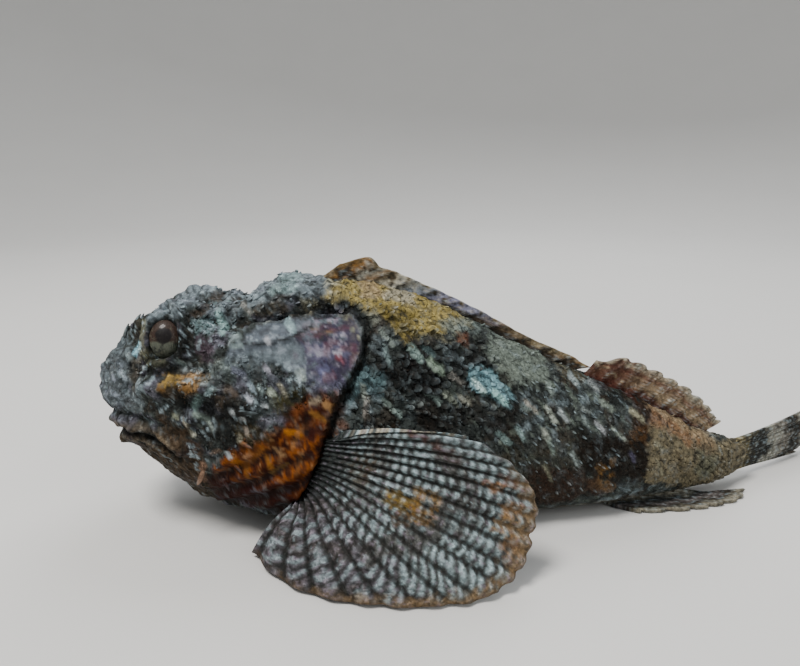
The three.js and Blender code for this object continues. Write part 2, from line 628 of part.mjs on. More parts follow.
// Caudal fin: partly folded, with shallow pleats between its rays
const caudal = plate({
  across: (CAUDAL_RAYS - 1) * 2,
  out: 8,
  point: (f, t) => {
    const place = midline(BODY_LENGTH);
    const edge = 1 - 0.05 * (1 - onRay(f, CAUDAL_RAYS));
    const rounded = 1 - 0.14 * (2 * f - 1) ** 2;
    const back = -3 + 61 * t * edge * rounded;
    const pleat = 0.9 * Math.sin(6 * Math.PI * f) * t + 0.001 * back * Math.abs(back);
    const rootZ = mix(4.4, 17.5, f);
    const tipZ = mix(1.3, 22, f);
    return new THREE.Vector3(
      place.x + place.along[0] * back + place.across[0] * pleat,
      place.y + place.along[1] * back + place.across[1] * pleat,
      mix(rootZ, tipZ, t * edge),
    );
  },
  half: (f, t) => mix(2.4, MEMBRANE_HALF, clamp01(t * 3)) + RAY_RISE * onRay(f, CAUDAL_RAYS),
}).subtract(grown);

const fish = new THREE.Group();
fish.name = 'scorpionfish';
fish.add(
  node('head', head, GREY_BROWN),
  node('lower_jaw', jaw, JAW_BROWN),
  node('gill_cover_left', cover, COVER_GREY),
  node('gill_cover_right', mirrored(cover), COVER_GREY),
  node('eye_left', eyes.left, EYE_BROWN),
  node('eye_right', eyes.right, EYE_BROWN),
  node('torso', trunk, FLANK_BROWN),
  node('tail_stalk', tail, TAIL_TAN),
  node('pectoral_fin_left', pectoral, FIN_BANDED),
  node('pectoral_fin_right', mirrored(pectoral), FIN_BANDED),
  node('pelvic_fin_left', pelvic, FIN_BROWN),
  node('pelvic_fin_right', mirrored(pelvic), FIN_BROWN),
  node('dorsal_fin_spiny', spinyDorsal, FIN_BROWN),
  node('dorsal_fin_soft', softDorsal, TAIL_TAN),
  node('anal_fin', anal, FIN_BROWN),
  node('caudal_fin', caudal, FIN_BANDED),
);

export default fish;
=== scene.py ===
"""A life-size scorpionfish at rest on its belly: skin, scales, spines, skin flaps, fins and eyes.

Every length in the tables is in millimetres. The head points toward -X and the left side faces -Y.
"""

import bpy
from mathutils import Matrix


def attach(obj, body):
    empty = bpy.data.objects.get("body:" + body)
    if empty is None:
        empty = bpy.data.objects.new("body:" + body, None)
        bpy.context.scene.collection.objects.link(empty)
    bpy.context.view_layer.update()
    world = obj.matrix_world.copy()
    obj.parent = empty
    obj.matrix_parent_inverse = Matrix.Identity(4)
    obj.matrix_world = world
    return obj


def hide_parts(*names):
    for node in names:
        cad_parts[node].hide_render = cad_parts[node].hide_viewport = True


bl_info = {
    "name": "Resting Scorpionfish",
    "version": (1, 0, 0),
    "blender": (4, 5, 0),
    "location": "3D View > Sidebar > Scorpionfish",
    "description": "Dresses the packed solids of a scorpionfish with skin, scales, flaps and fins",
    "category": "Object",
}

import math
import random

import bmesh
import bpy
import numpy as np
from mathutils import Vector, noise

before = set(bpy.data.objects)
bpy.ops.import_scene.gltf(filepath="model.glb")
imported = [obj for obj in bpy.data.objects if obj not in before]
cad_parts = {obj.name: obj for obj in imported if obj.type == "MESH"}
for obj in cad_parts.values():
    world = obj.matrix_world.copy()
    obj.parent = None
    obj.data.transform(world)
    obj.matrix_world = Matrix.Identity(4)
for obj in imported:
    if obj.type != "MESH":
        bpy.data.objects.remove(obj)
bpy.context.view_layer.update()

MM = 0.001
TURN = 2 * math.pi
# Steps of this share of a range spread evenly over it
GOLDEN = 0.618034
# The body is straight up to the bend and curves to the right from there
SNOUT_X = -85.0
BODY_LENGTH = 252.0
BEND_START = 180.0
BEND_RADIUS = 152.0
# Distance from the snout where the scales begin, part into front and rear, and end
SCALES_START, SCALES_PART, SCALES_END = 89, 137, 248
# Lowest height of skin, fins and coat, so that nothing sinks into the floor
SKIN_FLOOR, FIN_FLOOR, COAT_FLOOR = 0.25, 0.22, 0.3
# Height of the fins that lie flat, joints and dark beads along a ray
LYING_HEIGHT, RAY_JOINTS, RAY_BEADS = 1.25, 26, 12.5
# Radians to each side when a slope round the body is measured
ANGLE_STEP = 0.02
# Points nearer than this, in metres, are merged
MERGE_DISTANCE = 1e-7
# Free edge of the UV map, and width of the patch that each copy has on it
UV_MARGIN, UV_PATCH = 0.01, 0.0028
EYE_CENTRE = np.array((-54.5, 14.0, 70.3))
LID_AXIS = np.array((0.1, 0.963, 0.25))
SOCKET_AXIS = np.array((-0.12, 0.93, 0.34)) / np.linalg.norm((-0.12, 0.93, 0.34))
PUPIL_AXIS = (0.1, 0.93, 0.36)
# Each side, and its sign along Y
SIDES = (("left", -1), ("right", 1))
# Nodes of the solids that the skin covers
BODY_NODES = ("head", "lower_jaw", "gill_cover_left", "gill_cover_right", "torso", "tail_stalk")

# Distance from the snout, top, bottom, half width, height of the widest level,
# squareness of the upper half, squareness of the lower half.
STATIONS = np.array([
    (0, 53, 42, 5, 48, 2, 1.9),
    (3, 57.5, 33.5, 11.5, 44, 2, 1.8),
    (7, 62.5, 27.5, 16.5, 42, 2.1, 1.7),
    (13, 69, 20, 20.5, 41, 2.2, 1.7),
    (20, 74, 14.5, 24, 41, 2.3, 1.7),
    (29, 78.5, 8, 27.5, 41, 2.3, 1.7),
    (39, 81, 3.5, 31, 40, 2.25, 1.75),
    (48, 82.5, 1.5, 33.5, 39, 2.2, 1.85),
    (60, 84.5, 0, 36, 38, 2.1, 2.05),
    (70, 88, -1.2, 37.5, 37, 2, 2.3),
    (88, 90, -1.5, 38, 36, 1.9, 2.3),
    (100, 88.5, -1.5, 37.5, 35, 1.85, 2.3),
    (116, 84, -1.5, 35.5, 34, 1.8, 2.3),
    (134, 76.5, -1.5, 31.5, 31, 1.8, 2.3),
    (157, 64.5, -1, 26, 27, 1.8, 2.2),
    (172, 57.5, -0.6, 22, 24, 1.85, 2.2),
    (188, 50, 0.2, 18, 21, 1.9, 2.1),
    (212, 38, 1.2, 12.5, 18, 2, 2),
    (228, 29, 1.6, 9.5, 15, 2, 2),
    (243, 22.5, 1.8, 7, 13, 2, 2),
    (252, 19.5, 2.4, 5, 11.5, 2, 2),
])

# Ridges and hollows on both sides: line start, line end, how far round it, how high.
RELIEF = (
    ((-67, 10.5, 74), (-46, 13.5, 81), 4.4, 4.6),
    ((-46, 13.5, 81), (-37, 15, 82), 4.2, 3.4),
    ((-64, 0, 76), (-42, 0, 80), 6.0, -3.2),
    ((-30, 0, 84), (-27, 0, 85), 5.5, -2.6),
    ((-25, 10, 83), (-8, 11, 87), 3.8, 3.0),
    ((1, 17.5, 82), (5, 18, 81), 5.0, -3.8),
    ((-19, 18.5, 80), (-14, 19, 80), 3.8, -3.2),
    ((-31, 18, 78), (-29, 18, 78), 3.4, -2.8),
    ((-62, 24, 56), (-38, 31, 57), 3.4, 3.2),
    ((-38, 31, 57), (-24, 35, 50), 3.4, 2.0),
    ((-48, 26, 63), (-40, 28, 65), 4.5, -2.6),
    ((-80, 5, 58), (-69, 6, 70), 2.6, 1.8),
    ((-83.5, 0, 39), (-79, 14, 39.8), 2.6, 1.5),
    ((-79, 14, 39.8), (-66, 22, 40.2), 2.6, 1.7),
    ((-66, 22, 40.2), (-48, 28.5, 36), 3.2, 2.2),
    ((-81.5, 0, 32), (-74, 14, 32.6), 2.2, 1.4),
    ((-74, 14, 32.6), (-53, 25, 30), 2.6, 1.4),
    ((16, 25, 68), (34, 27, 60), 7.0, 1.6),
    ((-77, 9, 59), (-76, 9.5, 60), 1.5, -2.6),
    ((-75, 9.5, 63), (-74, 10, 64), 1.2, 1.6),
    ((-58, 22, 48), (-40, 31, 47), 2.4, 1.1),
    ((-34, 33, 66), (-30, 34, 40), 2.6, 1.3),
    ((-30, 34, 40), (-36, 31, 24), 2.6, 1.2),
    ((-26, 27, 71), (10, 27, 76.5), 1.6, 1.3),
    ((-24, 27.5, 70), (6, 33, 62), 1.5, 0.9),
    ((-72, 17, 50), (-60, 23, 50), 2.2, 1.2),
    ((-70, 13, 66), (-66, 18, 58), 2.0, 1.0),
)
# Lines and outlines seen from the side (x, z)
MOUTH = ((-87, 34.6), (-80, 35.2), (-72, 37.6), (-62, 38.2), (-54, 34.8), (-50, 29.5))
LIP_GROOVE = ((-84, 42), (-74, 44.6), (-66, 44.2), (-58, 39.4), (-53, 33))
GILL_FLAP = (
    (-31, 69), (-25, 75), (-17, 78), (-4, 79.5), (6, 81), (12, 79.5), (14.5, 75), (14.5, 70), (12, 66),
    (8, 61), (1, 59.5), (-5, 62.5), (-14, 66), (-24, 68),
)
GILL_EDGE = (
    (-24, 76), (-14, 80), (0, 82.3), (10, 81.6), (14.6, 76.6), (14.2, 69.5), (10, 61), (5, 53),
    (2.5, 45), (0.5, 38), (-3.5, 27), (-10.5, 15), (-22, 6),
)

# Colours, linear
DARK = (0.011, 0.013, 0.012)
MID = (0.045, 0.053, 0.05)
PALE = (0.155, 0.195, 0.21)
FLECK = (0.38, 0.48, 0.52)
ORANGE = (0.175, 0.046, 0.004)
GOLD = (0.24, 0.185, 0.055)
LAVENDER = (0.088, 0.105, 0.125)
VIOLET = (0.062, 0.054, 0.1)
RED = (0.15, 0.03, 0.035)
BLACK = (0.006, 0.0065, 0.006)
BROWN = (0.028, 0.017, 0.009)
RUST = (0.13, 0.055, 0.018)
TAN = (0.17, 0.135, 0.075)
CREAM = (0.26, 0.235, 0.175)

THROAT = (
    (-41.5, 23.5), (-28, 38.5), (-18.5, 42), (-11, 49), (-6, 54), (1, 56), (6, 56), (5, 47), (0.5, 26.5),
    (-3, 10.5), (-20.5, 12), (-40, 10),
)
# Patches of colour seen from the side, a few of them painted shade in the head's hollows: outline (x,
# z), colour, strength, softness, raggedness.
OUTLINED = (
    # Head
    (((-100, 72), (-70, 66), (-62, 52), (-70, 44), (-100, 40)), (0.1, 0.118, 0.132), 0.7, 4, 4),
    (((-62, 86), (-60, 77), (-46, 79), (-34, 79), (-26, 81), (-8, 84), (4, 86), (6, 98), (-40, 96)),
      (0.185, 0.225, 0.25), 0.75, 3, 5),
    (((-46.5, 79), (-43.5, 82.5), (-39.5, 82), (-39.5, 80), (-42, 79)), BROWN, 0.85, 0.7, 1.2),
    (((-50, 80.5), (-46, 81), (-44.5, 77), (-46, 74.5), (-49.5, 74.5)), BLACK, 0.75, 0.8, 1.5),
    (((-45, 77.5), (-40, 79), (-37, 77), (-37, 73.5), (-43, 74)), (0.13, 0.2, 0.21), 0.7, 1, 2),
    # Painted shade: black in the hollow behind the eye
    (((-49.5, 74), (-45, 74), (-40.5, 70.5), (-41, 65.5), (-45.5, 64.5),
      (-49, 67.5)), BLACK, 0.96, 1, 2),
    (((-41, 73), (-37, 74), (-35.5, 69.5), (-35.5, 64), (-39, 63), (-41, 68.5)),
      (0.06, 0.042, 0.055), 0.8, 1, 2),
    # Painted shade: black in the hollow under the eye
    (((-59, 64), (-49.5, 66), (-49, 61.5), (-55, 60), (-60, 61.5)), BLACK, 0.88, 0.8, 1.5),
    (((-61, 67), (-52.5, 67), (-53, 64), (-60.5, 63)), (0.05, 0.052, 0.032), 0.85, 0.7, 1),
    (((-67, 63), (-63.5, 64), (-63, 58), (-66, 53.5), (-67, 58.5)), (0.1, 0.085, 0.06), 0.7, 0.8, 1.5),
    (((-63.5, 78), (-60.5, 78), (-60, 64), (-63, 64)), (0.14, 0.14, 0.09), 0.8, 0.8, 1),
    (((-48.5, 63), (-42, 64.5), (-40.5, 62.5), (-43.5, 61), (-47.5, 61)),
      (0.2, 0.24, 0.25), 0.75, 0.8, 1.8),
    (((-55, 58), (-52, 60.5), (-48, 60.8), (-42, 61), (-37.5, 60.5), (-40, 57.5), (-45.5, 54.5),
      (-52.5, 54.5)), (0.11, 0.055, 0.013), 0.95, 0.8, 1.4),
    (((-54.5, 58.5), (-52, 60.5), (-47, 60.5), (-47, 58.8), (-52, 57.8)),
      (0.24, 0.155, 0.04), 0.9, 0.7, 1),
    (((-47, 60.2), (-42, 61.3), (-37.5, 61.3), (-38, 59), (-43, 58)),
      (0.28, 0.17, 0.075), 0.9, 0.7, 1.2),
    (((-40, 64), (-32.5, 66.5), (-26, 65.5), (-27, 60), (-34.5, 58.5), (-39, 60)),
      (0.14, 0.17, 0.16), 0.7, 1.2, 3),
    (((-33, 69.5), (-25.5, 70.5), (-27, 67.5), (-32, 66.5)), BLACK, 0.85, 0.8, 1.2),
    (((-34, 64), (-24, 66), (-14, 64.5), (-5, 61), (-5, 57.5), (-16, 58.5), (-28, 61)),
      (0.03, 0.038, 0.042), 0.65, 1, 3),
    (((-33.5, 81), (-30.5, 82), (-27, 81), (-26, 75.5), (-32.5, 75)), BLACK, 0.8, 1, 2),
    # Painted shadow: dark brown under the ridge behind the brow
    (((-24.5, 81), (-19, 83), (-13, 83), (-11.5, 80.5), (-16, 78.5), (-22.5, 78.5)),
      (0.045, 0.034, 0.018), 0.85, 1, 2),
    (((-17.5, 86.5), (-10.5, 86.5), (-10.5, 84.5), (-15.5, 84)), BROWN, 0.7, 0.8, 1.4),
    (((-19.5, 88), (-12.5, 90), (-9, 88.5), (-11, 86.5), (-17, 86.5)),
      (0.18, 0.26, 0.26), 0.7, 0.8, 1.6),
    (((-4, 85), (0, 85.5), (1.5, 82), (-2, 81)), BLACK, 0.8, 0.8, 1.5),
    (((-1, 83.5), (3.5, 84.5), (8.5, 83), (13, 80.5), (10, 80), (5, 80.5),
      (0, 81)), BLACK, 0.88, 0.8, 1.4),
    (((-8, 84.5), (-4, 83.5), (-1, 80.5), (5, 79), (4, 77), (-2.5, 78), (-6.5, 80)),
      (0.12, 0.11, 0.07), 0.75, 1, 2),
    (((-54, 56), (-36, 58.5), (-15.5, 59.5), (-14, 47), (-22.5, 42), (-35.5, 34.5), (-44.5, 39.5),
      (-53.5, 45.5)), DARK, 0.75, 2.5, 5),
    (((-35, 57), (-29, 58), (-27, 54.5), (-32, 50.5), (-35.5, 52.5)), (0.03, 0.022, 0.014), 0.85, 1, 2),
    (((-30.5, 53.5), (-24.5, 54), (-22.5, 47.5), (-26.5, 39.5), (-32, 36.5), (-35.5, 41.5),
      (-30.5, 46.5)), BLACK, 0.8, 1, 2.5),
    (((-14.5, 57), (-5.5, 57.5), (-5, 51.5), (-9, 49.5), (-13.5, 51.5)),
      (0.028, 0.024, 0.005), 0.93, 1.2, 3),
    (((-54, 46), (-45.5, 43.5), (-39, 36), (-42, 18), (-53, 20), (-60, 28), (-58, 34)),
      (0.045, 0.027, 0.014), 0.88, 2, 4),
    (((-84, 36), (-70, 36.5), (-62, 38), (-52, 33), (-42, 33), (-38, 24), (-41, 8), (-54, 10),
      (-70, 20), (-86, 28)), (0.055, 0.035, 0.018), 0.7, 2, 5),
    # Throat and gill flap
    # Dark red of the throat, darkened further as painted shade under the head
    (THROAT, (0.022, 0.003, 0.001), 0.98, 1.5, 3),
    (((-27.5, 45), (-18.5, 47), (-14, 42), (-19, 36.5), (-26.5, 37)), (0.03, 0.02, 0.004), 0.8, 1.5, 3),
    (GILL_FLAP, LAVENDER, 0.96, 0.8, 1.2),
    (((-5.5, 73), (-0.5, 74.5), (11, 75), (13, 70), (8.5, 61.5), (0.5, 60.5),
      (-4, 64)), VIOLET, 0.8, 1.5, 4),
    (((5.5, 80), (10, 79.5), (13.5, 76), (14, 71), (12, 67.5), (11.5, 72), (10.5, 77)),
      (0.2, 0.19, 0.135), 0.85, 0.7, 1),
    (((-2.5, 76.5), (3, 77), (4, 75.5), (0.5, 74)), (0.15, 0.08, 0.04), 0.8, 0.6, 1.2),
    (((-2.5, 74.5), (2.5, 75), (4, 73.5), (0, 72)), (0.02, 0.015, 0.02), 0.75, 0.6, 1.5),
    (((4, 70), (7, 70.5), (9, 67), (8.5, 64.5), (6, 66.5)), RED, 0.85, 0.6, 1.6),
    (((1, 66.5), (4, 67.5), (6.5, 65), (4, 62), (0.5, 63.5)), (0.12, 0.13, 0.24), 0.7, 0.8, 1.6),
    (((0, 71.5), (2.5, 71.5), (2, 69), (0, 69)), (0.02, 0.025, 0.06), 0.8, 0.6, 1),
    (((-7, 64.5), (-4.5, 64.5), (-4.5, 62), (-6.5, 62)), (0.38, 0.45, 0.42), 0.85, 0.6, 0.8),
    (((-31, 66.5), (-23, 69.5), (-13.5, 71.5), (-7, 72.5), (-5, 67.5), (-6.5, 64.5), (-16, 66),
      (-24.5, 66)), (0.11, 0.135, 0.15), 0.85, 0.8, 1),
    # Saddle and front of the trunk
    (((1, 99), (24, 96), (38, 88), (54, 76), (48, 71), (37, 73), (29, 72.5), (21, 78), (12, 83),
      (2, 86)), GOLD, 0.92, 1.5, 3.5),
    (((0, 93), (6.5, 92), (6.5, 88.5), (0.5, 88.5)), (0.36, 0.35, 0.25), 0.8, 0.8, 1.4),
    (((20.5, 82), (26.5, 82), (32, 79.5), (31, 74.5), (25.5, 75.5), (21, 78.5)),
      (0.08, 0.06, 0.012), 0.85, 1, 2.5),
    (((21, 86.5), (26.5, 88), (31.5, 85), (30.5, 81), (25.5, 82), (21.5, 84)),
      (0.3, 0.28, 0.22), 0.75, 1, 2.5),
    (((14, 91), (20, 91.5), (21, 86.5), (18.5, 84.5), (14.5, 86)), (0.26, 0.19, 0.11), 0.75, 1, 2.5),
    (((15.5, 80), (19.5, 79.5), (21, 76), (17.5, 76)), (0.15, 0.16, 0.13), 0.75, 0.8, 1.6),
    (((40.5, 75.5), (49.5, 75.5), (56.5, 72.5), (55, 70.5), (44.5, 71.5)),
      (0.12, 0.15, 0.14), 0.8, 1, 2),
    (((14.5, 79), (20, 75.5), (26, 70), (37.5, 71), (49.5, 71.5), (59.5, 69), (60, 62), (54, 60),
      (40.5, 58), (26, 59.5), (15.5, 63.5), (13.5, 73)), BLACK, 0.85, 1.2, 4),
    (((20.5, 66.5), (34, 66), (41.5, 61.5), (39, 55.5), (30.5, 53), (21.5, 57)),
      (0.004, 0.0035, 0.003), 0.95, 1.2, 3),
    (((47, 71.5), (51, 71), (50, 69), (47.5, 69)), (0.08, 0.025, 0.01), 0.8, 0.6, 1.2),
    (((11, 63.5), (15.5, 65), (21.5, 62), (21.5, 57), (16.5, 58.5), (11, 55.5)),
      (0.06, 0.1, 0.11), 0.85, 1, 2.5),
    (((59.5, 69.5), (71, 67), (81.5, 62.5), (80, 53), (69.5, 55.5), (62.5, 59.5), (58, 64)),
      (0.13, 0.155, 0.13), 0.88, 1.2, 2.5),
    (((51, 60), (59, 59.5), (62.5, 54), (66.5, 51), (64.5, 48.5), (59, 51.5), (53, 54.5)),
      (0.18, 0.33, 0.37), 0.85, 0.8, 1.8),
    (((30.5, 52.5), (40.5, 52.5), (51, 52), (68, 48.5), (67, 42), (51, 43), (34, 39)),
      (0.015, 0.013, 0.011), 0.85, 1.5, 3.5),
    # Rear of the trunk and tail stalk
    (((97.5, 57), (102, 60.5), (109, 60.5), (105.5, 55), (104, 49), (98.5, 51)),
      (0.022, 0.012, 0.012), 0.8, 1, 2.5),
    (((83, 62.5), (97, 58.5), (101, 55), (94, 53), (84.5, 57)), (0.08, 0.065, 0.035), 0.75, 1.2, 2.5),
    (((108.5, 56.5), (118, 55.5), (126.5, 52.5), (127.5, 45.5), (123.5, 39.5), (115.5, 43.5),
      (109.5, 50)), (0.065, 0.016, 0.01), 0.92, 1, 3),
    (((116, 42), (121, 44), (126, 33), (121, 28), (115.5, 31), (111, 38)),
      (0.02, 0.01, 0.005), 0.92, 1, 2.5),
    (((60, 34), (90, 36), (96, 24), (88, 12), (70, 8), (56, 16)), (0.04, 0.034, 0.022), 0.5, 3, 5),
    (((91, 34), (101, 35), (116, 32), (121, 26.5), (121, 14), (104.5, 15.5), (93.5, 21)),
      (0.008, 0.005, 0.003), 0.95, 1.5, 3.5),
    (((99.5, 23), (104.5, 24), (106.5, 18), (101.5, 19)), (0.12, 0.06, 0.014), 0.75, 0.8, 3),
    (((96, 17), (103.5, 17.5), (106, 13), (98.5, 13.5)), (0.13, 0.07, 0.025), 0.75, 0.8, 3),
    (((110.5, 34.5), (119.5, 34.5), (118.5, 30.5), (112, 31)), (0.07, 0.03, 0.007), 0.6, 1, 3),
    (((73, 26), (88, 25), (96, 20), (101, 12), (85.5, 8), (76, 8)), (0.03, 0.015, 0.009), 0.85, 1.5, 3),
    (((120, 33), (129, 34), (142, 28), (152, 22), (172, 20), (172, 2), (150, 4), (128, 10), (118, 15),
      (120, 24.5)), (0.15, 0.125, 0.075), 0.92, 1, 2.5),
    (((122, 41), (132, 35), (142, 28), (151, 21.5), (150, 19), (141, 23), (131, 30), (122, 36)),
      (0.2, 0.105, 0.05), 0.8, 1, 1.8),
    (((118, 46), (126, 42), (134, 36.5), (143, 30), (152, 22.5), (151, 20.5), (142, 27), (132, 33.5),
      (122, 39.5)), (0.26, 0.2, 0.12), 0.7, 0.8, 1.5),
    (((140.5, 24), (150, 21), (151.5, 11.5), (143.5, 11)), (0.075, 0.085, 0.06), 0.6, 1.2, 2.5),
    (((-20, 3.5), (160, 5), (160, -6), (-20, -6)), CREAM, 0.5, 2, 2),
)
